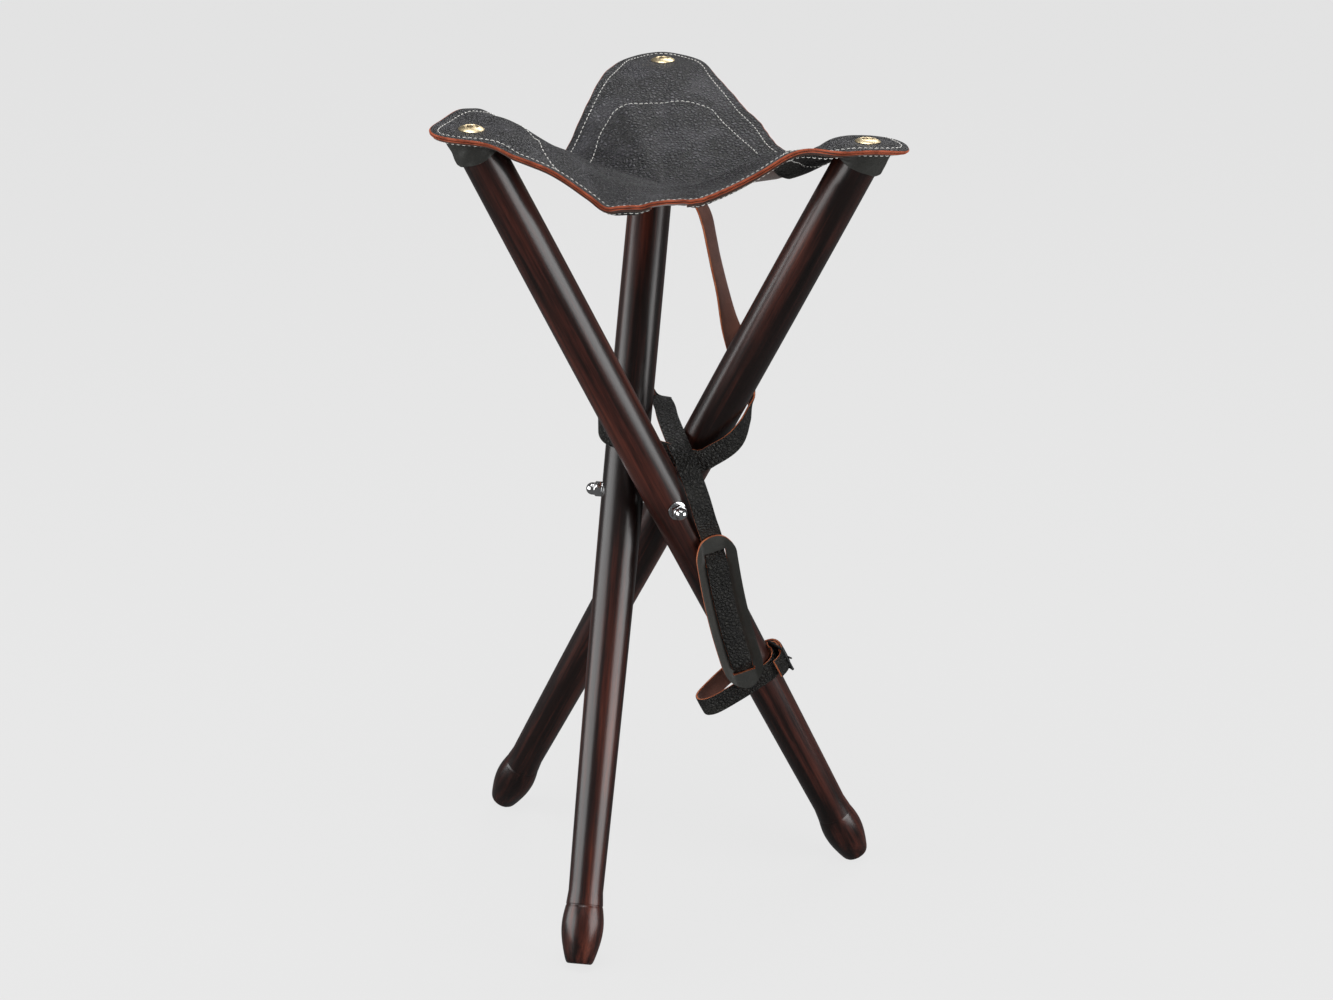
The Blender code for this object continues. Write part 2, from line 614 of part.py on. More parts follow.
carry = [(Vector(point), Vector(grain)) for point, grain in CARRY_ROUTE]
SLOT_REACH = 0.0068
for along, lift in ((0.003, -1.10), (PAD_SLOT_TOP - SLOT_REACH, -1.05), (PAD_SLOT_TOP, 0.0),
                    (PAD_SLOT_TOP + SLOT_REACH, 1.05), (0.050, 1.0), (0.080, 1.0), (0.110, 1.0),
                    (PAD_SLOT_LOW - SLOT_REACH, 1.05), (PAD_SLOT_LOW, 0.0),
                    (PAD_SLOT_LOW + SLOT_REACH, -1.05), (pad_long - 0.002, -1.10)):
    carry.append((pad_point(along, 0.0, lift * BEHIND_PAD), pad_face))
carry = [(hub + point, grain) for point, grain in carry]
carry_strap = ribbon("carry_strap", carry, STRAP_WIDTH, STRAP_THICK, strap_leather)

# The pad is a cupped leaf with round ends and two slots for the strap.
rows = []
for i in range(15):
    along = pad_long * (0.5 - 0.5 * math.cos(math.pi * i / 14.0))
    end = min(along, pad_long - along) / (PAD_WIDTH / 2.0)
    half = PAD_WIDTH / 2.0 * math.sqrt(max(1.0 - max(1.0 - end, 0.0) ** 2.4, 0.10))
    row = []
    for k in range(9):
        across = -1.0 + k / 4.0
        lift = PAD_LIP * max(abs(across * half) / (PAD_WIDTH / 2.0) - 0.55, 0.0) / 0.45
        row.append(hub + pad_point(along, across * half, lift + PAD_THICK / 2.0))
    rows.append(row)
shoulder_pad = sheet("shoulder_pad", rows, PAD_THICK, black_leather)
slot_frame = frame(hub + PAD_TOP, pad_side, pad_face)
for label, along in (("top", PAD_SLOT_TOP), ("low", PAD_SLOT_LOW)):
    centre = (0.0, -along if pad_face.cross(pad_side).dot(pad_along) < 0 else along, 0.0)
    slot = box("pad_slot_" + label, (STRAP_WIDTH + 0.0010, PAD_SLOT_LONG, 0.02), centre,
               cutters, slot_frame)
    cut(shoulder_pad, slot)

# Loop round leg a: a strap in a plane square to the leg, closed by a buckle.
LOOP_AT = -0.1980
LOOP_REACH = 0.0650
LOOP_LEAN = 0.0040
LOOP_RADIUS = 0.0206
BAR_RADIUS = 0.0012
FOLD_RADIUS = 0.0240
FLAP_RADIUS = 0.0274
TIP_RADIUS = 0.0301
FRAME_RADIUS = 0.0330
BAR_ANGLE = 104.0
FRAME_ANGLE = 52.0
FRAME_WIDTH = 0.0255

loop_frame = leg_frame("a") @ Matrix.Translation((0.0, 0.0, LOOP_AT))


def loop_point(radius, degrees):
    angle = math.radians(degrees)
    return Vector((radius * math.cos(angle), radius * math.sin(angle), 0.0))


def slack(across, share):
    # The loose part of the loop leans away from the leg that folds past it.
    lean = LOOP_LEAN * smooth(1.5 * share - 0.2)
    return Vector((across + lean, -LOOP_REACH * share, 0.0))


loop_line = [loop_point(FLAP_RADIUS, 66.0), loop_point(FLAP_RADIUS, 84.0),
             loop_point(FLAP_RADIUS, 100.0), loop_point(FOLD_RADIUS, BAR_ANGLE + 9.5),
             loop_point(LOOP_RADIUS, 100.0), loop_point(LOOP_RADIUS, 80.0),
             loop_point(LOOP_RADIUS, 50.0), loop_point(LOOP_RADIUS, 20.0),
             slack(0.0200, 0.12), slack(0.0175, 0.455), slack(0.0125, 0.82), slack(0.0070, 0.962),
             slack(0.0, 1.0), slack(-0.0070, 0.955), slack(-0.0125, 0.803), slack(-0.0180, 0.455),
             slack(-0.0210, 0.09), loop_point(LOOP_RADIUS + 0.0006, 160.0),
             loop_point(0.0240, 136.0), loop_point(0.0285, 118.0), loop_point(TIP_RADIUS, 104.0),
             loop_point(TIP_RADIUS, 84.0), loop_point(TIP_RADIUS, 64.0),
             loop_point(TIP_RADIUS - 0.0006, 44.0), loop_point(TIP_RADIUS - 0.0020, 26.0)]


def outward(points, index):
    # The grain side of the loop faces away from the leg, on the left of the way it runs.
    ahead = points[min(index + 1, len(points) - 1)] - points[max(index - 1, 0)]
    return ahead.cross(Vector((0.0, 0.0, 1.0))).normalized()


turn = loop_frame.to_3x3()
loop_route = []
for i, point in enumerate(loop_line):
    loop_route.append((loop_frame @ point, turn @ outward(loop_line, i)))
loop_strap = ribbon("loop_strap", loop_route, STRAP_WIDTH - 0.0010, STRAP_THICK, strap_leather, 2)


def rod(name, start, end, radius, collection, paint=None, sides=12):
    # A round rod between two points of the loop's own frame.
    along = end - start
    other = Vector((0.0, 0.0, 1.0)) if abs(along.normalized().z) < 0.9 else Vector((1.0, 0.0, 0.0))
    place = loop_frame @ frame(start, other, along)
    return turned(name, [(0.0, along.length), (radius, along.length), (radius, 0.0), (0.0, 0.0)],
                  sides, paint, collection, place)


bar_at = loop_point(FOLD_RADIUS, BAR_ANGLE)
far_at = loop_point(FRAME_RADIUS, FRAME_ANGLE)
half_frame = Vector((0.0, 0.0, FRAME_WIDTH / 2.0))
buckle = rod("buckle_frame", bar_at - half_frame, bar_at + half_frame, BAR_RADIUS, parts, buckle_black)
cut(buckle, rod("far_bar", far_at - half_frame, far_at + half_frame, BAR_RADIUS, cutters), "UNION")
for label, sign in (("low", -1.0), ("high", 1.0)):
    inset = half_frame * sign * 0.93
    beyond = (far_at - bar_at).normalized() * 0.0006
    side_rod = rod("frame_side_" + label, bar_at + inset - beyond, far_at + inset + beyond,
                   BAR_RADIUS * 1.05, cutters)
    cut(buckle, side_rod, "UNION")

# The prong turns on the bar, goes up through the strap and rests on the far bar.
PIN_RADIUS = 0.0009
lift_way = Vector((0.0, 0.0, 1.0)).cross(far_at - bar_at).normalized()
if lift_way.dot(far_at) < 0.0:
    lift_way = -lift_way
rest_at = far_at + lift_way * (BAR_RADIUS + PIN_RADIUS + 2.0 * CLEARANCE)
eye_place = loop_frame @ Matrix.Translation(bar_at)
eye_inner = BAR_RADIUS + CLEARANCE
EYE_WALL = 0.0009
EYE_HALF = 0.0012
prong = turned("buckle_prong", [(eye_inner, EYE_HALF), (eye_inner + EYE_WALL, EYE_HALF),
                                (eye_inner + EYE_WALL, -EYE_HALF), (eye_inner, -EYE_HALF)],
               16, buckle_black, parts, eye_place)
pin_way = (rest_at - bar_at).normalized()
pin = rod("prong_pin", bar_at + pin_way * (eye_inner + 0.0003), rest_at + pin_way * 0.0025,
          PIN_RADIUS, cutters)
cut(prong, pin, "UNION")
pin_room = rod("prong_room", bar_at - pin_way * 0.001, rest_at + pin_way * 0.006, 0.0013, cutters)
eye_room = turned("eye_room", [(0.0, 0.0017), (0.0028, 0.0017), (0.0028, -0.0017), (0.0, -0.0017)],
                  16, None, cutters, eye_place)
cut(loop_strap, pin_room)
cut(loop_strap, eye_room)
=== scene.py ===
import math

import bmesh
import bpy
import numpy as np
from mathutils import Matrix, Vector


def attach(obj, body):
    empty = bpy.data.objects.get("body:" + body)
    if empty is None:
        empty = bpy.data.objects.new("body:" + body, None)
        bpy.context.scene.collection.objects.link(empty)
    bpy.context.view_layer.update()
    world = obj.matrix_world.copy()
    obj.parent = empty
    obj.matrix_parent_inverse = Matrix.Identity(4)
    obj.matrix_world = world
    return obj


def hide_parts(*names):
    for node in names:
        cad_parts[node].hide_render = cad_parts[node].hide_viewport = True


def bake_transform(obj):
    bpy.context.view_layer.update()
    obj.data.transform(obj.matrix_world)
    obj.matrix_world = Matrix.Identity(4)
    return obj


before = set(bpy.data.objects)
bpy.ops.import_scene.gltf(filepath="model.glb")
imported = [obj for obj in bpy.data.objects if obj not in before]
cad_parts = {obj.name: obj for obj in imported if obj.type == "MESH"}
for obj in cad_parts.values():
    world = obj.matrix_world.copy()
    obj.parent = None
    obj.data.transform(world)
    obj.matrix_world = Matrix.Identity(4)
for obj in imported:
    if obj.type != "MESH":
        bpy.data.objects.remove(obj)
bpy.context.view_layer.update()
print("frame loaded:", len(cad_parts), "nodes")

# the stool's layout, as the frame has it: metres, +Z up, the bolt is where the legs cross
layout = {
    "hub": (-0.0164, -0.0079, 0.3900),
    "splay": 28.43,
    "armOffset": 0.0316,
    "armAzimuth": {"a": 300.0, "b": 60.0, "c": 180.0},
}
hub = Vector(layout["hub"])
hubRow = np.array(layout["hub"])
up = Vector((0.0, 0.0, 1.0))
splay = math.radians(layout["splay"])
armOffset = layout["armOffset"]
armAzimuth = layout["armAzimuth"]


def heading(degrees):
    return Vector((math.cos(math.radians(degrees)), math.sin(math.radians(degrees)), 0.0))


def axesAt(origin, xAxis, zAxis):
    zAxis = zAxis.normalized()
    xAxis = (xAxis - zAxis * xAxis.dot(zAxis)).normalized()
    turned = Matrix((xAxis, zAxis.cross(xAxis), zAxis)).transposed().to_4x4()
    return Matrix.Translation(origin) @ turned


def legUp(name):
    return math.cos(splay) * up + math.sin(splay) * heading(armAzimuth[name] - 90.0)


def legPlace(name):
    arm = heading(armAzimuth[name])
    return axesAt(hub + armOffset * arm, arm, legUp(name))


def armPlace(name):
    return axesAt(hub, up, heading(armAzimuth[name]))


# camera, lights and floor
camera = {
    "from": (0.40075, -3.03200, 1.08379),  # beside the bolt
    "looks": (-0.12351, 0.93445, -0.33402),
    "right": (0.99138, 0.13103, 0.0),
    "up": (-0.04377, 0.33114, 0.94257),
    "roll": 1.605,
    "lens": 94.2, "sensor": 36.0, "sees": 100.0,
    "shift": (0.0074, -0.0052),
}


def placeCamera():
    roll = math.radians(camera["roll"])
    right, top = Vector(camera["right"]), Vector(camera["up"])
    turnedRight = right * math.cos(roll) + top * math.sin(roll)
    turnedUp = top * math.cos(roll) - right * math.sin(roll)
    made = bpy.data.objects.new("camera", bpy.data.cameras.new("camera"))
    bpy.context.scene.collection.objects.link(made)
    turn = Matrix((turnedRight, turnedUp, -Vector(camera["looks"]))).transposed()
    made.matrix_world = Matrix.Translation(hub + Vector(camera["from"])) @ turn.to_4x4()
    made.data.sensor_width = camera["sensor"]
    made.data.lens = camera["lens"]
    made.data.shift_x, made.data.shift_y = camera["shift"]
    made.data.clip_end = camera["sees"]
    bpy.context.scene.camera = made


placeCamera()
bpy.context.scene.view_settings.view_transform = "Standard"


# finishes
class Signal:
    # one socket of a node tree; arithmetic on it adds Math nodes
    def __init__(self, board, socket):
        self.board = board
        self.socket = socket

    def reckon(self, operation, first, second):
        return self.board.node("ShaderNodeMath", {"operation": operation}, {0: first, 1: second})

    def __add__(self, other):
        return self.reckon("ADD", self, other)

    def __radd__(self, other):
        return self.reckon("ADD", other, self)

    def __mul__(self, other):
        return self.reckon("MULTIPLY", self, other)

    def __rmul__(self, other):
        return self.reckon("MULTIPLY", other, self)


class Board:
    # a node tree that is written with one method
    def __init__(self, tree):
        self.tree = tree

    def node(self, kind, settings=None, values=None, out=0):
        made = self.tree.nodes.new(kind)
        for key, value in (settings or {}).items():
            if key == "stops":
                self.setStops(made.color_ramp, value)
            else:
                setattr(made, key, value)
        for key, value in (values or {}).items():
            self.feed(made.inputs[key], value)
        return Signal(self, made.outputs[out])

    def setStops(self, ramp, stops):
        while len(ramp.elements) > 1:
            ramp.elements.remove(ramp.elements[-1])
        ramp.elements[0].position = stops[0][0]
        ramp.elements[0].color = (*stops[0][1], 1.0)
        for position, colour in stops[1:]:
            ramp.elements.new(position).color = (*colour, 1.0)

    def feed(self, socket, value):
        if isinstance(value, Signal):
            self.tree.links.new(value.socket, socket)
        elif socket.type == "RGBA":
            socket.default_value = (*value[:3], 1.0)
        else:
            socket.default_value = value

    def noise(self, place, scale, detail=3.0, rough=0.5, out=0):
        return self.node("ShaderNodeTexNoise", {}, {"Vector": place, "Scale": scale, "Detail": detail,
                                                    "Roughness": rough}, out)

    def cells(self, place, scale):
        # 0 on the borders between the cells
        return self.node("ShaderNodeTexVoronoi", {"feature": "DISTANCE_TO_EDGE"},
                         {"Vector": place, "Scale": scale}, "Distance")

    def band(self, value, low, high, fromLow=0.0, toHigh=1.0):
        return self.node("ShaderNodeMapRange", {"interpolation_type": "SMOOTHSTEP"},
                         {"Value": value, "From Min": low, "From Max": high,
                          "To Min": fromLow, "To Max": toHigh})

    def times(self, place, factors):
        return self.node("ShaderNodeVectorMath", {"operation": "MULTIPLY"}, {0: place, 1: factors})

    def plus(self, place, other):
        return self.node("ShaderNodeVectorMath", {"operation": "ADD"}, {0: place, 1: other})

    def tint(self, first, second, share):
        # colours are mixed here, and never by Math nodes
        return self.node("ShaderNodeMix", {"data_type": "RGBA"}, {0: share, 6: first, 7: second}, 2)

    def ramp(self, value, stops):
        return self.node("ShaderNodeValToRGB", {"stops": stops}, {"Fac": value})

    def bump(self, height, distance, strength=1.0, under=None):
        values = {"Height": height, "Distance": distance, "Strength": strength}
        if under is not None:
            values["Normal"] = under
        return self.node("ShaderNodeBump", {}, values)


class Finish(Board):
    # a material with its Principled shader
    def __init__(self, name, constants):
        self.material = bpy.data.materials.new(name)
        self.material.use_nodes = True
        super().__init__(self.material.node_tree)
        self.shader = self.tree.nodes["Principled BSDF"]
        for socket, value in constants.items():
            self.feed(self.shader.inputs[socket], value)

    def own(self):
        # the place on the piece as it was made, so that a pattern stays on it when it bends
        return self.node("ShaderNodeAttribute", {"attribute_name": "ownPlace"}, {}, "Vector")

    def world(self):
        return self.node("ShaderNodeTexCoord", {}, {}, "Object")

    def set(self, colour, rough, normal):
        for socket, value in (("Base Color", colour), ("Roughness", rough), ("Normal", normal)):
            self.feed(self.shader.inputs[socket], value)
        return self.material


woodLook = {
    "varnish": {"Coat Weight": 1.0, "Coat Roughness": 0.26, "Coat IOR": 1.5, "Specular IOR Level": 0.15},
    "broad": (38.0, 38.0, 2.6), "streak": (210.0, 210.0, 7.0),  # waves a metre: across, across, along
    "pore": (1500.0, 1500.0, 46.0), "patches": 9.0,
    "stain": [(0.34, (0.0026, 0.0011, 0.0009)), (0.46, (0.0105, 0.0026, 0.0018)),
              (0.56, (0.050, 0.0100, 0.0056)), (0.68, (0.125, 0.0265, 0.0125))],
    "poreColour": (0.004, 0.0022, 0.0020), "patchColour": (0.007, 0.0030, 0.0024),
    "rough": (0.30, 0.44), "streakDeep": 0.00010, "poreDeep": 0.00006,
}


def stainedWood():
    # dark red-brown stain with fine pores along the grain, under gloss varnish
    finish = Finish("stainedWood", woodLook["varnish"])
    place = finish.own()
    broad = finish.noise(finish.times(place, woodLook["broad"]), 1.0, 4.0, 0.55)
    streak = finish.noise(finish.times(place, woodLook["streak"]), 1.0, 5.0, 0.6)
    pore = finish.noise(finish.times(place, woodLook["pore"]), 1.0, 2.0, 0.5)
    patchy = finish.noise(place, woodLook["patches"], 3.0, 0.5)
    tone = broad * 0.55 + streak * 0.45
    colour = finish.ramp(tone, woodLook["stain"])
    dark = finish.band(pore, 0.56, 0.66)
    colour = finish.tint(colour, woodLook["poreColour"], dark * 0.55)
    colour = finish.tint(colour, woodLook["patchColour"], finish.band(patchy, 0.48, 0.68, 0.0, 0.55))
    rough = finish.band(streak, 0.3, 0.7, *woodLook["rough"])
    normal = finish.bump(streak, woodLook["streakDeep"], 0.7)
    normal = finish.bump(dark, -woodLook["poreDeep"], 0.6, normal)
    return finish.set(colour=colour, rough=rough, normal=normal)


def pebbledLeather(name, look):
    # cells raised between fine creases, with a soft shine on their tops; the creases carry painted shade and
    # some cell tops a painted highlight
    finish = Finish(name, {"Specular IOR Level": look["shine"], "Sheen Weight": 0.0})
    place = finish.own()
    drift = finish.times(finish.noise(place, 160.0, 2.0, 0.5, 1), (look["drift"],) * 3)
    bent = finish.plus(place, drift)
    wide = finish.cells(bent, 1.0 / look["cell"])
    small = finish.cells(bent, 2.1 / look["cell"])
    pores = finish.noise(place, 2600.0, 2.0, 0.6)
    cloud = finish.noise(place, 26.0, 4.0, 0.55)
    top = finish.band(wide, 0.0, 0.40) * 0.78 + finish.band(small, 0.0, 0.34) * 0.22
    each = finish.node("ShaderNodeTexVoronoi", {}, {"Vector": bent, "Scale": 1.0 / look["cell"]}, "Color")
    lone = finish.node("ShaderNodeSeparateColor", {}, {"Color": each})
    wrinkle = finish.noise(finish.times(place, look["wrinkle"]), 1.0, 3.0, 0.55)
    raised = top + pores * 0.16
    # painted shade: the creases between the cells are coloured near black, over the grain's own darker
    # creases
    colour = finish.tint(look["creaseShade"], look["top"], top * (0.45 + 0.55 * lone))
    colour = finish.tint(colour, look["worn"], finish.band(cloud, 0.46, 0.74, 0.0, look["wear"]))
    # painted highlight: the tops of some cells are lightened with the same light colour that marks the rubbed
    # wear above
    colour = finish.tint(colour, look["worn"], finish.band(lone * top, 0.62, 0.95, 0.0, 0.8))
    rough = finish.band(top + cloud * 0.5, 0.2, 1.2, look["rough"] + 0.12, look["rough"] - 0.05)
    normal = finish.bump(cloud, 0.0007, 0.30)
    normal = finish.bump(wrinkle, look["wrinkled"], 0.6, normal)
    normal = finish.bump(raised, look["deep"], 0.9, normal)
    return finish.set(colour=colour, rough=rough, normal=normal)


def rawEdge(name, low, high, dark):
    # cut leather edge: packed fibres, burnished unevenly
    finish = Finish(name, {"Specular IOR Level": 0.25})
    place = finish.own()
    fibre = finish.noise(place, 1900.0, 3.0, 0.65)
    along = finish.noise(place, 90.0, 3.0, 0.6)
    colour = finish.tint(low, high, finish.band(along + fibre * 0.4, 0.45, 0.95))
    colour = finish.tint(colour, dark, finish.band(fibre, 0.56, 0.78, 0.0, 0.55))
    return finish.set(colour=colour, rough=finish.band(along, 0.3, 0.7, 0.85, 0.62),
                      normal=finish.bump(fibre, 0.00022, 0.8))


def fleshSide(name, low, high):
    # the napped back of the hide
    finish = Finish(name, {"Specular IOR Level": 0.15, "Sheen Weight": 0.25, "Sheen Roughness": 0.6})
    place = finish.own()
    nap = finish.noise(place, 1300.0, 4.0, 0.7)
    cloud = finish.noise(place, 34.0, 4.0, 0.6)
    colour = finish.tint(low, high, finish.band(cloud * 0.7 + nap * 0.5, 0.4, 0.85))
    return finish.set(colour=colour, rough=finish.band(nap, 0.3, 0.7, 0.95, 0.82),
                      normal=finish.bump(nap, 0.00030, 0.75))


def platedMetal(name, colour, low, high):
    finish = Finish(name, {"Metallic": 1.0})
    place = finish.world()
    cloud = finish.noise(place, 150.0, 3.0, 0.6)
    fine = finish.noise(finish.times(place, (900.0, 900.0, 3600.0)), 1.0, 2.0, 0.5)
    dull = tuple(c * 0.62 for c in colour)
    shade = finish.tint(colour, dull, finish.band(cloud, 0.5, 0.75, 0.0, 0.6))
    return finish.set(colour=shade, rough=finish.band(cloud + fine * 0.3, 0.4, 0.95, low, high),
                      normal=finish.bump(fine, 0.000012, 0.5))


def blackSteel():
    finish = Finish("blackSteel", {"Metallic": 0.0, "Specular IOR Level": 0.6})
    place = finish.world()
    cloud = finish.noise(place, 700.0, 3.0, 0.6)
    colour = finish.tint((0.010, 0.010, 0.010), (0.045, 0.043, 0.040), finish.band(cloud, 0.55, 0.8))
    return finish.set(colour=colour, rough=finish.band(cloud, 0.3, 0.7, 0.28, 0.42),
                      normal=finish.bump(cloud, 0.00004, 0.6))


def waxedThread():
    finish = Finish("waxedThread", {"Specular IOR Level": 0.35})
    place = finish.world()
    ply = finish.noise(place, 2400.0, 2.0, 0.6)
    colour = finish.tint((0.50, 0.49, 0.46), (0.82, 0.81, 0.78), finish.band(ply, 0.35, 0.62))
    return finish.set(colour=colour, rough=finish.band(ply, 0.3, 0.7, 0.75, 0.55),
                      normal=finish.bump(ply, 0.00010, 0.7))


finishes = {
    "wood": stainedWood(),
    "seatGrain": pebbledLeather("seatGrain", {
        "cell": 0.0038, "deep": 0.00300, "drift": 0.0020, "shine": 0.55, "rough": 0.42, "wear": 0.22,
        "wrinkle": (55.0, 190.0, 190.0), "wrinkled": 0.0011,
        "creaseShade": (0.0012, 0.0012, 0.0015), "top": (0.062, 0.060, 0.071), "worn": (0.150, 0.147, 0.170)}),
    "strapGrain": pebbledLeather("strapGrain", {
        "cell": 0.0035, "deep": 0.00230, "drift": 0.0018, "shine": 0.45, "rough": 0.46, "wear": 0.30,
        "wrinkle": (260.0, 70.0, 70.0), "wrinkled": 0.0009,
        "creaseShade": (0.0014, 0.0014, 0.0012), "top": (0.0310, 0.0300, 0.0255), "worn": (0.062, 0.060, 0.052)}),
    "padGrain": pebbledLeather("padGrain", {
        "cell": 0.0012, "deep": 0.00010, "drift": 0.0006, "shine": 0.50, "rough": 0.40, "wear": 0.45,
        "wrinkle": (90.0, 90.0, 90.0), "wrinkled": 0.0006,
        "creaseShade": (0.022, 0.0225, 0.0195), "top": (0.036, 0.036, 0.0315), "worn": (0.058, 0.057, 0.051)}),
    "seatEdge": rawEdge("seatEdge", (0.170, 0.034, 0.014), (0.400, 0.092, 0.040), (0.024, 0.007, 0.005)),
    "strapEdge": rawEdge("strapEdge", (0.36, 0.075, 0.028), (0.58, 0.20, 0.090), (0.13, 0.034, 0.017)),
    "flesh": fleshSide("fleshSide", (0.042, 0.019, 0.013), (0.088, 0.043, 0.030)),
    "strapFlesh": fleshSide("strapFlesh", (0.085, 0.026, 0.016), (0.165, 0.058, 0.034)),
    "chrome": platedMetal("brightPlate", (0.78, 0.79, 0.80), 0.08, 0.18),
    "brass": platedMetal("paleBrass", (0.80, 0.66, 0.42), 0.34, 0.46),
    "screw": platedMetal("screwHead", (0.42, 0.32, 0.18), 0.32, 0.46),
    "blackSteel": blackSteel(),
    "thread": waxedThread(),
}
print("finishes made:", len(finishes))


# light and floor
studio = {
    "paper": (0.800, 0.800, 0.800),
    "floorHalf": 30.0,
    "aim": (0.0, 0.0, 0.42),
    "worldLight": 0.10,
    "floorKeeps": 0.05,  # how much of the real shadow the paper shows
    "floorGloss": 0.10,  # the paper as the varnish and the nuts mirror it
    "boxes": [  # place, size, watts
        ((1.70, -0.62, 0.68), (1.60, 1.20), 24.0),
        ((-1.62, -0.72, 0.68), (2.00, 1.20), 25.0),
        ((-0.2, -0.5, 2.5), (1.6, 1.3), 37.0),
        ((0.4, 1.7, 2.2), (1.4, 0.8), 20.0),
    ],
}


def lightStudio():
    floorMesh = bpy.data.meshes.new("paperFloor")
    half = studio["floorHalf"]
    corners = [(-half, -half, 0.0), (half, -half, 0.0), (half, half, 0.0), (-half, half, 0.0)]
    floorMesh.from_pydata(corners, [], [(0, 1, 2, 3)])
    floor = bpy.data.objects.new("paperFloor", floorMesh)
    bpy.context.scene.collection.objects.link(floor)
    paper = Finish("paper", {"Base Color": (0.82, 0.82, 0.82), "Roughness": 0.9,
                             "Specular IOR Level": 0.1})
    seen = paper.node("ShaderNodeLightPath", {}, {}, "Is Camera Ray")
    glow = paper.node("ShaderNodeEmission", {}, {"Color": studio["paper"], "Strength": 1.0})
    body = Signal(paper, paper.shader.outputs[0])
    mirrored = paper.node("ShaderNodeLightPath", {}, {}, "Is Glossy Ray")
    dim = paper.node("ShaderNodeEmission", {}, {"Color": (1.0, 1.0, 1.0), "Strength": studio["floorGloss"]})
    lit = paper.node("ShaderNodeMixShader", {}, {0: mirrored, 1: body, 2: dim})
    mixed = paper.node("ShaderNodeMixShader", {}, {0: seen * (1.0 - studio["floorKeeps"]),
                                                   1: lit, 2: glow})
    paper.feed(paper.tree.nodes["Material Output"].inputs["Surface"], mixed)
    floorMesh.materials.append(paper.material)

    sky = bpy.data.worlds.new("studioWorld")
    bpy.context.scene.world = sky
    sky.use_nodes = True
    board = Board(sky.node_tree)
    path = board.node("ShaderNodeLightPath", {}, {}, "Is Camera Ray")
    lamp = board.node("ShaderNodeBackground", {}, {"Color": (1.0, 1.0, 1.0),
                                                   "Strength": studio["worldLight"]})
    back = board.node("ShaderNodeBackground", {}, {"Color": studio["paper"], "Strength": 1.0})
    mixedSky = board.node("ShaderNodeMixShader", {}, {0: path, 1: lamp, 2: back})
    board.feed(sky.node_tree.nodes["World Output"].inputs["Surface"], mixedSky)

    for i, (place, size, power) in enumerate(studio["boxes"]):
        lampData = bpy.data.lights.new(f"softBox{i}", "AREA")
        lampData.shape = "RECTANGLE"
        lampData.size, lampData.size_y = size
        lampData.energy = power
        made = bpy.data.objects.new(f"softBox{i}", lampData)
        bpy.context.scene.collection.objects.link(made)
        made.location = place
        made.rotation_mode = "QUATERNION"
        made.rotation_quaternion = (Vector(studio["aim"]) - Vector(place)).to_track_quat("-Z", "Y")


lightStudio()
print("studio lit")


# mesh helpers
looks = bpy.data.collections.new("stoolLooks")
bpy.context.scene.collection.children.link(looks)


def addPiece(name, mesh):
    made = bpy.data.objects.new(name, mesh)
    looks.objects.link(made)
    return made


def meshOf(name, points, faces, paints, paintOf=None, sharpAngle=None):
    # paintOf gives each face the number of its finish
    mesh = bpy.data.meshes.new(name)
    mesh.from_pydata([tuple(p) for p in points], [], faces)
    for paint in paints:
        mesh.materials.append(paint)
    if paintOf is not None:
        mesh.polygons.foreach_set("material_index", np.array(paintOf, dtype=np.int32))
    smoothAll(mesh)
    if sharpAngle is not None:
        mesh.set_sharp_from_angle(angle=math.radians(sharpAngle))
    mesh.validate()
    mesh.update()
    return mesh


def smoothAll(mesh):
    mesh.polygons.foreach_set("use_smooth", np.ones(len(mesh.polygons), dtype=bool))


def faceOutwards(mesh, sharpAngle=None, weld=False, trim=False):
    # turns the faces outwards; edges that bend more than the angle stay crisp
    shape = bmesh.new()
    shape.from_mesh(mesh)
    if weld:
        bmesh.ops.remove_doubles(shape, verts=shape.verts[:], dist=0.00001)
        bmesh.ops.triangulate(shape, faces=[f for f in shape.faces if len(f.verts) > 4])
    if trim:
        loose = [v for v in shape.verts if not v.link_faces]
        bmesh.ops.delete(shape, geom=loose, context="VERTS")
    bmesh.ops.recalc_face_normals(shape, faces=shape.faces[:])
    if sharpAngle is not None:
        for edge in shape.edges:
            if len(edge.link_faces) == 2 and edge.calc_face_angle(0.0) > math.radians(sharpAngle):
                edge.smooth = False
    shape.to_mesh(mesh)
    shape.free()


def keepPlace(mesh, inverse=None, own=None):
    # stores where each point lies on the piece, for its finish
    points = np.zeros(len(mesh.vertices) * 3)
    mesh.vertices.foreach_get("co", points)
    points = points.reshape(-1, 3)
    if own is not None:
        points = np.array(own)
    elif inverse is not None:
        matrix = np.array(inverse)
        points = points @ matrix[:3, :3].T + matrix[:3, 3]
    stored = mesh.attributes.new("ownPlace", "FLOAT_VECTOR", "POINT")
    stored.data.foreach_set("vector", points.astype(np.float32).ravel())


def settle(made):
    # the modifiers' result becomes the piece's own mesh
    bpy.context.view_layer.update()
    shape = bpy.data.meshes.new_from_object(made.evaluated_get(bpy.context.evaluated_depsgraph_get()))
    made.modifiers.clear()
    made.data = shape
    return made


def easeEdges(made, width, segments, bend):
    # rounds the edges that bend more than the angle
    ease = made.modifiers.new("ease", "BEVEL")
    ease.width = width
    ease.segments = segments
    ease.limit_method = "ANGLE"
    ease.angle_limit = math.radians(bend)
    settle(made)
    smoothAll(made.data)


def curveThrough(at, values, wanted):
    # a smooth curve through the values known at some places, read at the wanted places
    slopes = np.gradient(values, at)
    left = np.clip(np.searchsorted(at, wanted, side="right") - 1, 0, len(at) - 2)
    span = at[left + 1] - at[left]
    t = (wanted - at[left]) / span
    ease = t * t * (3.0 - 2.0 * t)
    return (values[left] * (1.0 - ease) + (t ** 3 - 2.0 * t ** 2 + t) * span * slopes[left]
            + values[left + 1] * ease + (t ** 3 - t ** 2) * span * slopes[left + 1])


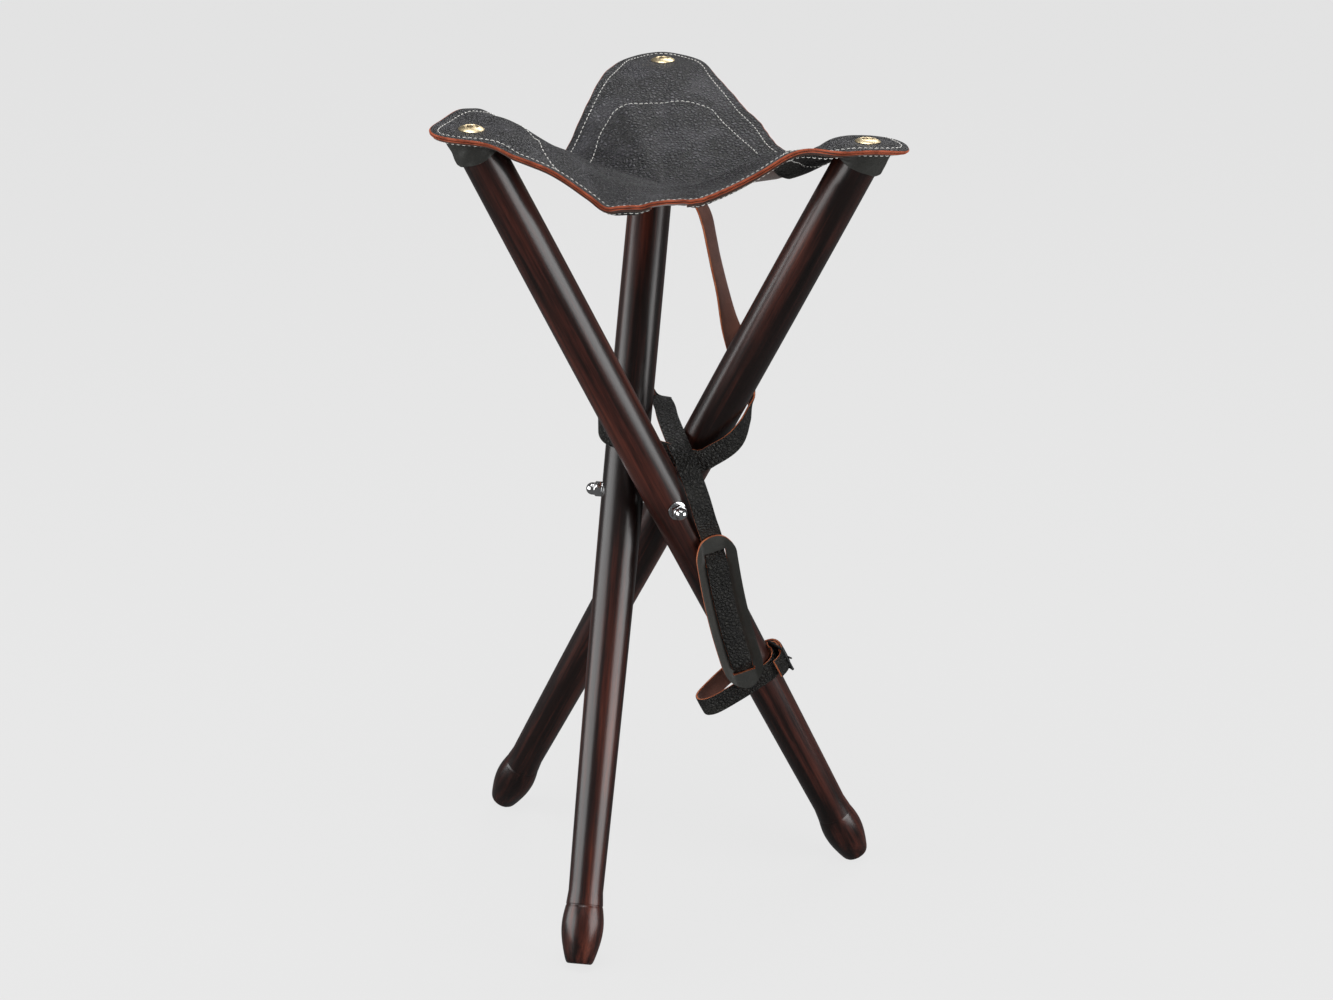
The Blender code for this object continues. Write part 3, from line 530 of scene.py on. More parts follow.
def revolve(profile, steps):
    # (radius, height) pairs from the top down the outer side; a ring when no radius is 0
    ring = profile[0][0] > 1e-6
    points, faces, rows = [], [], []
    for radius, height in profile:
        if radius < 1e-6:
            rows.append([len(points)])
            points.append((0.0, 0.0, height))
        else:
            rows.append(list(range(len(points), len(points) + steps)))
            for k in range(steps):
                angle = 2.0 * math.pi * k / steps
                points.append((radius * math.cos(angle), radius * math.sin(angle), height))
    pairs = list(zip(rows, rows[1:])) + ([(rows[-1], rows[0])] if ring else [])
    for upper, lower in pairs:
        for k in range(steps):
            j = (k + 1) % steps
            if len(upper) == 1:
                faces.append((upper[0], lower[k], lower[j]))
            elif len(lower) == 1:
                faces.append((upper[k], lower[0], upper[j]))
            else:
                faces.append((upper[k], lower[k], lower[j], upper[j]))
    return points, faces


def turnedPiece(name, profile, steps, place, paint, sharpAngle=32.0):
    points, faces = revolve(profile, steps)
    return addPiece(name, meshOf(name, [place @ Vector(p) for p in points], faces, [paint],
                                 None, sharpAngle))


def cutBy(target, cutter, operation="DIFFERENCE"):
    change = target.modifiers.new(cutter.name, "BOOLEAN")
    change.operation = operation
    change.solver = "EXACT"
    change.object = cutter
    return cutter


def refinish(node, finish):
    # a CAD node stays and gets a better finish
    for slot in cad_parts[node].material_slots:
        slot.material = finishes[finish]


def drop(*pieces):
    for piece in pieces:
        bpy.data.objects.remove(piece, do_unlink=True)


def blockPiece(name, size, centre, place):
    points = [place @ Vector([(x - 0.5) * size[0] + centre[0], (y - 0.5) * size[1] + centre[1],
                              (z - 0.5) * size[2] + centre[2]])
              for x in (0, 1) for y in (0, 1) for z in (0, 1)]
    faces = [(0, 1, 3, 2), (4, 6, 7, 5), (0, 4, 5, 1), (2, 3, 7, 6), (0, 2, 6, 4), (1, 5, 7, 3)]
    return addPiece(name, meshOf(name, points, faces, []))


# seat surface
seat = {
    "turn": 9.14,
    "top": 0.0030, "lining": 0.0022, "patch": 0.0020, "gap": 0.0005,
    "discOut": 0.1990,
    "middleRise": 0.2950,
    "discRise": {"a": 0.3665, "b": 0.3630, "c": 0.3650},
    "discTilt": {"a": -0.05, "b": -0.04, "c": -0.01},
    "discFlat": 0.028, "discBlend": 0.022,
    "lobeSpread": 21.0, "lobeClimb": 0.80, "valleyPower": 1.6,
    "rimAngle": [-60, -45, -30, -18, -9, 0, 9, 18, 30, 45],
    "rimReach": [0.118, 0.1273, 0.1435, 0.1735, 0.2130, 0.2375, 0.2130, 0.1735, 0.1435, 0.1273],
    "rimRise": {
        "a": [0.3100, 0.3295, 0.3495, 0.3700, 0.3705, 0.3665, 0.3620, 0.3435, 0.3195, 0.3060],
        "b": [0.3115, 0.3210, 0.3350, 0.3630, 0.3630, 0.3620, 0.3570, 0.3530, 0.3400, 0.3285],
        "c": [0.3285, 0.3365, 0.3475, 0.3595, 0.3655, 0.3655, 0.3640, 0.3620, 0.3400, 0.3065],
    },
    # how far the rim as seen lies above or below the frame's rim, by direction
    "rimSag": [(196, 0.0), (203, 0.0016), (209, 0.0044), (215, 0.0040), (221, 0.0010), (228, 0.0),
               (235, 0.0012), (240, 0.0022), (245, 0.0014), (250, -0.0014), (255, -0.0052),
               (260, 0.0006), (265, 0.0047), (270, 0.0054), (275, 0.0034), (280, 0.0010), (285, -0.0012),
               (290, -0.0036), (295, -0.0032), (300, -0.0011), (305, 0.0011), (310, 0.0023), (315, 0.0005),
               (323, -0.0004), (330, -0.0038), (336, -0.0046), (343, -0.0052), (350, -0.0056), (358, -0.0054),
               (365, -0.0038), (372, -0.0040), (380, -0.0092), (388, -0.0104), (396, -0.0082), (404, -0.0060),
               (412, -0.0048), (426, -0.0042), (438, -0.0040), (448, -0.0016), (456, 0.0)],
    "dents": [{"at": (-0.108, -0.043), "deep": 0.0095, "wide": 0.032},
              {"at": (0.104, -0.012), "deep": 0.0105, "wide": 0.030},
              {"at": (0.130, -0.030), "deep": 0.0070, "wide": 0.024},
              {"at": (0.060, 0.000), "deep": 0.0040, "wide": 0.026}],
    "crease": {"from": (-0.108, 0.045), "to": (-0.004, -0.124), "deep": 0.0036, "wide": 0.015,
               "round": 0.0022},
    "folds": [
        {"at": (0.030, -0.085), "along": 120.0, "pitch": 0.0095, "lift": 0.00075,
         "long": 0.034, "wide": 0.016},
        {"at": (0.012, -0.060), "along": 75.0, "pitch": 0.0120, "lift": 0.00060,
         "long": 0.030, "wide": 0.018},
        {"at": (-0.060, 0.050), "along": 20.0, "pitch": 0.0110, "lift": 0.00022,
         "long": 0.030, "wide": 0.020},
        {"at": (0.065, 0.060), "along": 150.0, "pitch": 0.0130, "lift": 0.00022,
         "long": 0.034, "wide": 0.020},
    ],
    "edgeRows": [12.0, 10.2, 8.8, 7.6, 6.8, 6.2, 5.6, 5.0, 4.4, 3.6, 2.8, 2.0, 1.3, 0.8],  # mm from the edge
    "edgeRound": ((0.45, 0.05), (0.18, 0.18), (0.03, 0.40), (0.0, 0.60), (0.10, 0.85), (0.35, 0.97)),
    "inner": 0.013,  # the even rings end this far from the edge
    "pressed": 0.34, "pressedWide": 0.016,  # the layers are thinner where they are sewn together
    "stitchIn": 0.0074,  # the rim's stitches, from the edge
    "groove": 0.00022,
    "spokeStep": 0.75,
    "cut": (0.210, 0.252), "cutArea": 0.0297,  # a third laid flat, centre to tip, set from the piece as built
}


def lobeAxis(name):
    return armAzimuth[name] - 90.0 + seat["turn"]


def rimTable():
    rows = []
    for name in "abc":
        for angle, reach, rise in zip(seat["rimAngle"], seat["rimReach"], seat["rimRise"][name]):
            rows.append((lobeAxis(name) % 360.0 + angle, reach, rise))
    rows.sort()
    return np.array(rows)


rim = rimTable()
rimAngles = np.concatenate([rim[-3:, 0] - 360.0, rim[:, 0], rim[:3, 0] + 360.0])


def aroundRim(degrees, column):
    # a smooth closed curve through the rim's points
    values = np.concatenate([rim[-3:, column], rim[:, column], rim[:3, column]])
    wanted = (np.asarray(degrees, float) - rim[0, 0]) % 360.0 + rim[0, 0]
    return curveThrough(rimAngles, values, wanted)


def smooth(t):
    t = np.clip(t, 0.0, 1.0)
    return t * t * (3.0 - 2.0 * t)


def rimSag(degrees):
    table = np.array(seat["rimSag"])
    at, values = table[:, 0], table[:, 1]
    wanted = np.minimum((np.asarray(degrees, float) - at[0]) % 360.0 + at[0], at[-1])
    return curveThrough(at, values, wanted)


def creases(x, y):
    # the folds that the leather takes where it is pulled between the lobes
    lift = np.zeros_like(x)
    for fold in seat["folds"]:
        way = math.radians(fold["along"])
        dx, dy = x - fold["at"][0], y - fold["at"][1]
        along = dx * math.cos(way) + dy * math.sin(way)
        across = -dx * math.sin(way) + dy * math.cos(way)
        wave = np.sin(2.0 * math.pi * (across / fold["pitch"] + 0.25 * np.sin(along / 0.021)))
        lift += fold["lift"] * wave * np.exp(-(along / fold["long"]) ** 2 - (across / fold["wide"]) ** 2)
    for dent in seat["dents"]:
        near = ((x - dent["at"][0]) ** 2 + (y - dent["at"][1]) ** 2) / dent["wide"] ** 2
        lift = lift - dent["deep"] * np.exp(-near)
    crease = seat["crease"]
    start, end = np.array(crease["from"]), np.array(crease["to"])
    way = (end - start) / np.linalg.norm(end - start)
    away = np.abs((x - start[0]) * -way[1] + (y - start[1]) * way[0])
    away = np.sqrt(away ** 2 + crease["round"] ** 2) - crease["round"]
    return lift - crease["deep"] * np.exp(-away / crease["wide"])


def seatHeight(x, y):
    # the top surface above the bolt, at x and y beside it
    x, y = np.asarray(x, float), np.asarray(y, float)
    degrees = np.degrees(np.arctan2(y, x))
    share = np.hypot(x, y) / aroundRim(degrees, 1)
    offAxis = (degrees - lobeAxis("c") + 60.0) % 120.0 - 60.0
    lobe = np.exp(-(offAxis / seat["lobeSpread"]) ** 2)
    climb = lobe * smooth(share / seat["lobeClimb"]) + (1.0 - lobe) * share ** seat["valleyPower"]
    rimRise = aroundRim(degrees, 2) + rimSag(degrees)
    height = seat["middleRise"] + (rimRise - seat["middleRise"]) * climb + creases(x, y)
    for name in "abc":
        out = heading(lobeAxis(name))
        along = x * out.x + y * out.y - seat["discOut"]
        across = -x * out.y + y * out.x
        keep = smooth((np.hypot(along, across) - seat["discFlat"]) / seat["discBlend"])
        flat = seat["discRise"][name] + seat["discTilt"][name] * across
        height = flat * (1.0 - keep) + height * keep
    return height


def rimSlant(degrees):
    # how much longer a radial step is than the step square to the rim
    change = (aroundRim(degrees + 0.3, 1) - aroundRim(degrees - 0.3, 1)) / math.radians(0.6)
    return np.sqrt(1.0 + (change / aroundRim(degrees, 1)) ** 2)


def onSeat(x, y, depth=0.0):
    # points at a depth below the top surface, square to it, and the way they face
    step = 0.0004
    slopeX = (seatHeight(x + step, y) - seatHeight(x - step, y)) / (2.0 * step)
    slopeY = (seatHeight(x, y + step) - seatHeight(x, y - step)) / (2.0 * step)
    facing = np.stack([-slopeX, -slopeY, np.ones_like(slopeX)], axis=-1)
    facing /= np.linalg.norm(facing, axis=-1, keepdims=True)
    degrees = np.degrees(np.arctan2(y, x))
    back = (aroundRim(degrees, 1) - np.hypot(x, y)) / rimSlant(degrees)
    pressed = 1.0 - seat["pressed"] * (1.0 - smooth(back / seat["pressedWide"]))
    point = np.stack([x, y, seatHeight(x, y)], axis=-1) - (np.asarray(depth) * pressed)[..., None] * facing
    return point + hubRow, facing


liningDepth = seat["top"] + seat["gap"]
patchDepth = liningDepth + seat["lining"] + seat["gap"]
underDepth = patchDepth + seat["patch"]


def blendWithLeg(piece):
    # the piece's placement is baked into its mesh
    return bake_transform(piece)


def seatSector(name, layer):
    # one lobe's third of a leather layer
    depth, thick, inset = layer["depth"], layer["thick"], layer["inset"]
    half = 60.0
    spokes = lobeAxis(name) + np.linspace(-half, half, int(round(2 * half / seat["spokeStep"])) + 1)
    reach = aroundRim(spokes, 1)
    slant = rimSlant(spokes)
    # the edge was cut by hand
    waver = 0.00025 * np.sin(np.radians(spokes) * 23.0 + layer["seed"]) \
        + 0.00018 * np.sin(np.radians(spokes) * 57.0 + 2.0 * layer["seed"])
    edgeIn = inset + waver
    nearEdge = np.array(seat["edgeRows"]) / 1000.0
    shares = np.concatenate([[0.0], np.linspace(0.05, 1.0, layer["rings"])])
    rows = []
    inner = reach - seat["inner"] * slant
    cosines, sines = np.cos(np.radians(spokes)), np.sin(np.radians(spokes))

    def addRow(radius, down):
        rows.append(onSeat(radius * cosines, radius * sines, down)[0])

    for share in shares:
        addRow(inner * share, np.full_like(spokes, depth))
    for back in nearEdge:
        dip = layer["groove"] * math.exp(-((back - seat["stitchIn"]) / 0.0010) ** 2)
        swell = -0.00010 * math.exp(-((back - 0.0025) / 0.0018) ** 2)
        addRow(reach - (back + edgeIn) * slant, np.full_like(spokes, depth + dip + swell))
    topRows = len(rows)
    for out, down in seat["edgeRound"]:
        addRow(reach - (out / 1000.0 * 1.4 + edgeIn) * slant, np.full_like(spokes, depth + thick * down))
    edgeRows = len(rows)
    for back in nearEdge[::-2]:
        addRow(reach - (back + 0.0004 + edgeIn) * slant, np.full_like(spokes, depth + thick))
    for share in shares[::-3]:
        addRow(inner * share, np.full_like(spokes, depth + thick))
    if shares[::-3][-1] > 0.0:
        addRow(inner * 0.0, np.full_like(spokes, depth + thick))
    paints = [finishes[p] for p in layer["paints"]]
    points = np.concatenate(rows)
    count = len(spokes)
    faces, paintOf = [], []
    for r in range(len(rows) - 1):
        for i in range(count - 1):
            a, b = r * count + i, (r + 1) * count + i
            faces.append((a, b, b + 1, a + 1))
            paintOf.append(0 if r < topRows - 1 else (1 if r < edgeRows - 1 else 2))
    # the cut sides meet the next third inside the leather
    for i in (0, count - 1):
        loop = [r * count + i for r in range(len(rows))]
        faces.append(tuple(loop) if i else tuple(reversed(loop)))
        paintOf.append(1)
    label = f"{layer['name']}_{name}"
    mesh = meshOf(label, points, faces, paints, paintOf)
    faceOutwards(mesh, 55.0, weld=True)
    keepPlace(mesh)
    return addPiece(label, mesh)


topLayer = {"name": "seat_top", "depth": 0.0, "thick": seat["top"], "inset": 0.0, "groove": seat["groove"],
            "rings": 46, "seed": 0.4, "paints": ("seatGrain", "seatEdge", "flesh")}
liningLayer = {"name": "seat_lining", "depth": liningDepth, "thick": seat["lining"], "inset": 0.0006,
               "groove": 0.0, "rings": 26, "seed": 1.9, "paints": ("flesh", "seatEdge", "flesh")}

seatFaces = 0
for name in "abc":
    for layer, node in ((topLayer, "seat_leather"), (liningLayer, "seat_lining")):
        piece = seatSector(name, layer)
        blendWithLeg(piece)
        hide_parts(node)
        "black_leather" if node == "seat_leather" else "lining_leather"
        seatFaces += len(piece.data.polygons)
print("seat layers made:", seatFaces, "faces")


# corner patches
patch = {
    "at": [0.0, 22.0, 34.0, 45.0, 52.0],
    "inner": [0.1120, 0.1180, 0.1070, 0.1070, 0.1130],
    "outer": 0.982,
    "half": 52.0,
    "steps": 92,
    "rings": 22,
    "round": 0.0006, "swell": 0.0003,  # its edges
    "cut": (0.189, 0.172), "cutArea": 0.0143,
}


def cornerPatch(name):
    # a second grain-out leather under the lobe, sewn along its inner edge and the rim
    spokes = np.linspace(-patch["half"], patch["half"], patch["steps"])
    degrees = lobeAxis(name) + spokes
    inner = np.interp(np.abs(spokes), patch["at"], patch["inner"])
    outer = aroundRim(degrees, 1) * patch["outer"]
    inner = np.minimum(inner, outer - 0.004)
    cosines, sines = np.cos(np.radians(degrees)), np.sin(np.radians(degrees))
    rows = []
    upper, lower = patchDepth, underDepth
    steps = np.linspace(0.0, 1.0, patch["rings"])

    def addRow(share, down, back=0.0):
        radius = inner + (outer - inner) * share - back
        rows.append(onSeat(radius * cosines, radius * sines, np.full_like(spokes, down))[0])

    for share in steps:
        addRow(share, upper)
    topRows = len(rows)
    addRow(1.0, upper + patch["round"], -patch["swell"])
    addRow(1.0, lower - patch["round"], -patch["swell"])
    for share in steps[::-1]:
        addRow(share, lower)
    bottomRows = len(rows)
    addRow(0.0, lower - patch["round"], patch["swell"])
    addRow(0.0, upper + patch["round"], patch["swell"])
    count = len(spokes)
    faces, paintOf = [], []
    total = len(rows)
    for r in range(total):
        nextRow = (r + 1) % total
        for i in range(count - 1):
            a, b = r * count + i, nextRow * count + i
            faces.append((a, b, b + 1, a + 1))
            # the outer rim edge takes the dark flesh finish, not the cut-edge finish: painted shade, so that
            # this third layer reads as a shadow under the lining
            paintOf.append(0 if r < topRows + 2 else (2 if r < bottomRows - 1 else 1))
    for i in (0, count - 1):
        for r in range(patch["rings"] - 1):
            a, b = r * count + i, (r + 1) * count + i
            c, d = (bottomRows - 2 - r) * count + i, (bottomRows - 1 - r) * count + i
            faces.append((a, d, c, b))
            paintOf.append(1)
        for ends in ((patch["rings"] - 1, topRows, topRows + 1, topRows + 2),
                     (bottomRows - 1, bottomRows, bottomRows + 1, 0)):
            faces.append(tuple(r * count + i for r in ends))
            paintOf.append(1)
    label = f"corner_patch_{name}_leather"
    mesh = meshOf(label, np.concatenate(rows), faces,
                  [finishes["flesh"], finishes["seatEdge"], finishes["strapGrain"]], paintOf)
    faceOutwards(mesh, 40.0)
    keepPlace(mesh)
    return addPiece(label, mesh)


for name in "abc":
    piece = cornerPatch(name)
    blendWithLeg(piece)
    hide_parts(f"corner_patch_{name}")
print("corner patches made")


# legs
legs = {
    "down": 0.4386,
    "foot": 0.0540,
    "profile": (0.0199, 0.0016, 0.0013, 0.3),
    "flare": 0.0013, "flareLong": 0.012,
    "footProfile": [(0.0172, 0.0518), (0.0180, 0.0475), (0.0188, 0.042), (0.01925, 0.036), (0.0191, 0.030),
                    (0.0181, 0.022), (0.0163, 0.014), (0.0142, 0.0065), (0.0129, 0.0028),
                    (0.0116, 0.0006), (0.0105, 0.0)],
    "steps": 72,
    "rings": 64,
    "bore": 0.0043, "spotAt": 0.0175, "spotRadius": 0.0092,
    "groove": 0.00035, "bodyTop": 0.37, "woodTop": 0.40, "gap": 0.0003, "footPoints": 40,
    "grainShift": (0.31, 0.17, 1.3),  # so that no two legs have the same grain
}


def underSeat(place, radius, angle, depth):
    # how far along the leg its side meets the layer at that depth
    along = 0.41  # a first guess, made better eight times
    for again in range(8):
        point = place @ Vector((radius * math.cos(angle), radius * math.sin(angle), along))
        x, y = np.array([point.x - hub.x]), np.array([point.y - hub.y])
        surface, facing = onSeat(x, y, np.array([0.0]))
        target = surface[0][2] - depth / facing[0][2]
        along += (target - point.z) / math.cos(splay)
    return along


def footCurve():
    # the foot's outline through its measured points, finer
    rows = np.array(legs["footProfile"])
    at = np.concatenate([[0.0], np.cumsum(np.hypot(*np.diff(rows, axis=0).T))])
    wanted = np.linspace(0.0, at[-1], legs["footPoints"])
    return list(zip(*(curveThrough(at, rows[:, column], wanted) for column in (0, 1))))


def woodenLeg(name):
    place = legPlace(name)
    steps = legs["steps"]
    base, taper, bulge, span = legs["profile"]
    low = legs["foot"] - legs["down"]
    profile = []
    for s in np.linspace(legs["bodyTop"], low, legs["rings"]):
        x = s / span
        flare = legs["flare"] * float(smooth((low + legs["flareLong"] - s) / legs["flareLong"])) ** 2
        profile.append((base + taper * x - bulge * x * x + flare, s))
    groove = profile[-1][0] - legs["groove"]
    profile += [(groove, low - 0.0005), (groove, low - 0.0011)]
    profile += [(radius, height - legs["down"]) for radius, height in footCurve()]
    points, faces = [], []
    angles = [2.0 * math.pi * k / steps for k in range(steps)]
    x = legs["woodTop"] / span
    topRadius = base + taper * x - bulge * x * x
    tops = [underSeat(place, topRadius, angle, underDepth + legs["gap"]) for angle in angles]
    centre = underSeat(place, 0.0, 0.0, underDepth + legs["gap"])
    points.append(Vector((0.0, 0.0, centre)))
    rings = []
    for radius, sink in ((topRadius * 0.5, 0.0), (topRadius - 0.0012, 0.0), (topRadius - 0.0004, 0.0004),
                         (topRadius, 0.0012)):
        rings.append(range(len(points), len(points) + steps))
        for angle, top in zip(angles, tops):
            share = radius / topRadius
            points.append(Vector((radius * math.cos(angle), radius * math.sin(angle),
                                  centre + (top - centre) * share - sink)))
    profile += [(radius, -legs["down"]) for radius in (0.0075, 0.0035)]  # under the foot
    for radius, along in profile:
        rings.append(range(len(points), len(points) + steps))
        for angle in angles:
            points.append(Vector((radius * math.cos(angle), radius * math.sin(angle), along)))
    points.append(Vector((0.0, 0.0, -legs["down"])))
    for k in range(steps):
        j = (k + 1) % steps
        faces.append((0, rings[0][k], rings[0][j]))
        faces.append((rings[-1][k], len(points) - 1, rings[-1][j]))
        for upper, lower in zip(rings, rings[1:]):
            faces.append((upper[k], lower[k], lower[j], upper[j]))
    placed = [place @ p for p in points]
    for p in placed:
        p.z = max(p.z, 0.0)  # worn flat where it stands
    leg = addPiece(f"leg_{name}_wood", meshOf(f"leg_{name}_wood", placed, faces, [finishes["wood"]]))
    bore, at, spot = legs["bore"], legs["spotAt"], legs["spotRadius"]
    profile = [(0.0, 0.03), (spot, 0.03), (spot, at), (bore, at), (bore, -at), (spot, -at),
               (spot, -0.03), (0.0, -0.03)]
    arm = heading(armAzimuth[name])
    cutter = turnedPiece("boreCutter", profile, 48, axesAt(hub + armOffset * arm, up, arm),
                         finishes["wood"])
    cutBy(leg, cutter)
    settle(leg)
    drop(cutter)
    leg.data.set_sharp_from_angle(angle=math.radians(34.0))
    keepPlace(leg.data, place.inverted())
    own = leg.data.attributes["ownPlace"]
    values = np.zeros(len(leg.data.vertices) * 3, np.float32)
    own.data.foreach_get("vector", values)
    values = values.reshape(-1, 3) + np.array(legs["grainShift"]) * "abc".index(name)
    own.data.foreach_set("vector", values.astype(np.float32).ravel())
    return leg


for name in "abc":
    leg = woodenLeg(name)
    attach(leg, f"leg_{name}_body")
    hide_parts(f"leg_{name}")
print("legs made")


# pocket sleeves
sleeve = {
    "inner": 0.0205, "outer": 0.0238, "low": 0.3935, "gap": 0.0002, "steps": 120, "rings": 18,
    "cut": (0.139, 0.0165),  # round the leg and down it, as built
}


def pocketSleeve(name, number):
    # a leather cuff that holds the leg's top under the lobe
    place = legPlace(name)
    steps = sleeve["steps"]
    angles = [2.0 * math.pi * k / steps for k in range(steps)]
    rows = []
    outerTop = [underSeat(place, sleeve["outer"], a, underDepth + sleeve["gap"]) for a in angles]
    innerTop = [underSeat(place, sleeve["inner"], a, underDepth + sleeve["gap"]) for a in angles]

    def bottom(angle):
        return sleeve["low"] + 0.0009 * math.sin(2.0 * angle + number) + 0.0005 * math.sin(5.0 * angle)

    def addRing(radius, heights):
        rows.append([place @ Vector((r * math.cos(a), r * math.sin(a), s))
                     for r, a, s in zip(radius, angles, heights)])

    for i in range(sleeve["rings"]):
        share = i / (sleeve["rings"] - 1.0)
        radii, heights = [], []
        for a, top in zip(angles, outerTop):
            crumple = 0.00045 * math.sin(3.0 * a + 7.0 * share + number) * math.sin(math.pi * share) \
                + 0.00030 * math.sin(11.0 * a + 9.0 * share)
            flare = 0.0006 * (share - 0.3)
            radii.append(sleeve["outer"] - 0.0007 + crumple * 0.7 + flare)
            heights.append(top + (bottom(a) + 0.0006 - top) * share)
        addRing(radii, heights)
    thick = (sleeve["outer"] - sleeve["inner"])
    for out, down in ((0.80, 0.0003), (0.5, 0.0), (0.2, 0.0003)):
        addRing([sleeve["inner"] + thick * out * 0.85] * steps, [bottom(a) + down for a in angles])
    for share in (0.02, 0.5, 1.0):
        addRing([sleeve["inner"]] * steps,
                [bottom(a) + 0.0008 + (top - bottom(a) - 0.0008) * share for a, top in zip(angles, innerTop)])
    count = len(rows)
    faces, paintOf = [], []
    for r in range(count):
        nextRow = (r + 1) % count
        for k in range(steps):
            j = (k + 1) % steps
            faces.append((r * steps + k, nextRow * steps + k, nextRow * steps + j, r * steps + j))
            paintOf.append(0 if r < sleeve["rings"] - 1 else (1 if r < sleeve["rings"] + 3 else 2))
    points = [p for row in rows for p in row]
    label = f"pocket_sleeve_{name}_leather"
    mesh = meshOf(label, points, faces,
                  [finishes["padGrain"], finishes["strapFlesh"], finishes["flesh"]], paintOf, 55.0)
    faceOutwards(mesh)
    keepPlace(mesh)
    return addPiece(label, mesh)


for number, name in enumerate("abc"):
    piece = pocketSleeve(name, number)
    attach(piece, f"leg_{name}_body")
    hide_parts(f"pocket_sleeve_{name}")
print("sleeves made")


# bolt hardware
hardware = {
    "clearance": 0.0003, "arm": 0.0040,
    "washerRadius": 0.0085, "washerThick": 0.0016, "bossFlat": 0.0119,
    "nutFlats": 0.0130, "nutHex": 0.0065, "nutHeight": 0.0150, "dome": 0.0058, "domeTall": 0.0060,
}
outerSeat = armOffset + legs["spotAt"] + hardware["clearance"]
nutSeat = outerSeat + hardware["washerThick"] + hardware["clearance"]


def discFrame(name):
    out = heading(lobeAxis(name))
    side = up.cross(out)
    facing = (up - seat["discTilt"][name] * side).normalized()
    origin = hub + seat["discOut"] * out + seat["discRise"][name] * up
    return axesAt(origin, out, facing)


def washerAt(label, node, seatAt, name):
    hole = hardware["arm"] + hardware["clearance"]
    thick, wide, edge = hardware["washerThick"], hardware["washerRadius"], 0.00022
    ring = [(hole, seatAt + thick - 0.0002), (hole + 0.0002, seatAt + thick),
            (wide - edge, seatAt + thick), (wide - edge * 0.3, seatAt + thick - edge * 0.3),
            (wide, seatAt + thick - edge), (wide, seatAt + edge), (wide - edge * 0.3, seatAt + edge * 0.3),
            (wide - edge, seatAt), (hole, seatAt)]
    made = turnedPiece(label, ring, 64, armPlace(name), finishes["chrome"])
    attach(made, "hub")
    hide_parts(node)


def acornNut(name):
    place = armPlace(name)
    flats, low = hardware["nutFlats"] / 2.0, nutSeat
    high = nutSeat + hardware["nutHex"]
    corner = flats / math.cos(math.pi / 6.0)
    points, faces = revolve([(0.0, high), (corner, high), (corner, low), (0.0, low)], 6)
    nut = addPiece(f"acorn_nut_{name}_plated", meshOf("nut", [place @ Vector(p) for p in points], faces,
                                                     [finishes["chrome"]]))
    chamfer = [(0.0, nutSeat + 0.03), (0.0061, nutSeat + 0.03), (0.0061, high + 0.0003),
               (0.0066, high - 0.0001), (0.0082, high - 0.0010), (0.0082, low + 0.0009),
               (0.0070, low - 0.0003), (0.0, low - 0.0003)]
    chamferCutter = cutBy(nut, turnedPiece("nutChamfer", chamfer, 64, place, finishes["chrome"]), "INTERSECT")
    radius, tall = hardware["dome"], hardware["domeTall"]
    start = nutSeat + hardware["nutHeight"] - tall
    dome = [(0.0, nutSeat + hardware["nutHeight"])]
    for i in range(1, 15):
        angle = math.radians(90.0 * i / 14.0)
        dome.append((radius * math.sin(angle), start + tall * math.cos(angle)))
    dome += [(radius, high + 0.0006), (radius + 0.00025, high + 0.0001), (radius + 0.0003, high - 0.001),
             (0.0, high - 0.001)]
    domeCutter = cutBy(nut, turnedPiece("nutDome", dome, 64, place, finishes["chrome"]), "UNION")
    settle(nut)
    drop(chamferCutter, domeCutter)
    easeEdges(nut, 0.00016, 2, 22.0)
    nut.data.set_sharp_from_angle(angle=math.radians(30.0))
    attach(nut, "hub")
    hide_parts(f"acorn_nut_{name}")


def cupAndScrew(name):
    place = discFrame(name)
    low, high = 0.0002, 0.0030
    cup = [(0.0052, high - 0.0006), (0.0056, high - 0.00012), (0.0060, high), (0.0066, high - 0.00005),
           (0.0074, high - 0.00025), (0.0086, high - 0.0007), (0.0098, high - 0.0013),
           (0.0108, high - 0.0019), (0.0113, high - 0.0023), (0.0115, high - 0.0026), (0.0113, low),
           (0.0034, low), (0.0034, low + 0.0005), (0.0046, high - 0.0011)]
    made = turnedPiece(f"cup_washer_{name}_brass", cup, 72, place, finishes["brass"], 50.0)
    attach(made, f"leg_{name}_body")
    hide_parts(f"cup_washer_{name}")
    head = [(0.0, 0.00325), (0.0015, 0.00322), (0.0028, 0.00308), (0.0038, 0.00285), (0.0045, 0.00255),
            (0.00485, 0.00230), (0.0049, 0.00215), (0.0030, 0.0004), (0.0022, -0.0003), (0.0022, -0.024),
            (0.0, -0.028)]
    screw = turnedPiece(f"seat_screw_{name}_head", head, 48, place, finishes["screw"], 40.0)
    cutters = [cutBy(screw, blockPiece(f"cross{i}", size, (0.0, 0.0, 0.0031), place))
               for i, size in enumerate(((0.0058, 0.0011, 0.0026), (0.0011, 0.0058, 0.0026)))]
    settle(screw)
    drop(*cutters)
    screw.data.set_sharp_from_angle(angle=math.radians(35.0))
    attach(screw, f"leg_{name}_body")
    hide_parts(f"seat_screw_{name}")


for name in "abc":
    washerAt(f"inner_washer_{name}_plated", f"inner_washer_{name}",
             hardware["bossFlat"] + hardware["clearance"], name)
    washerAt(f"outer_washer_{name}_plated", f"outer_washer_{name}", outerSeat, name)
    acornNut(name)
    cupAndScrew(name)
refinish("three_way_bolt", "chrome")
print("hardware made")


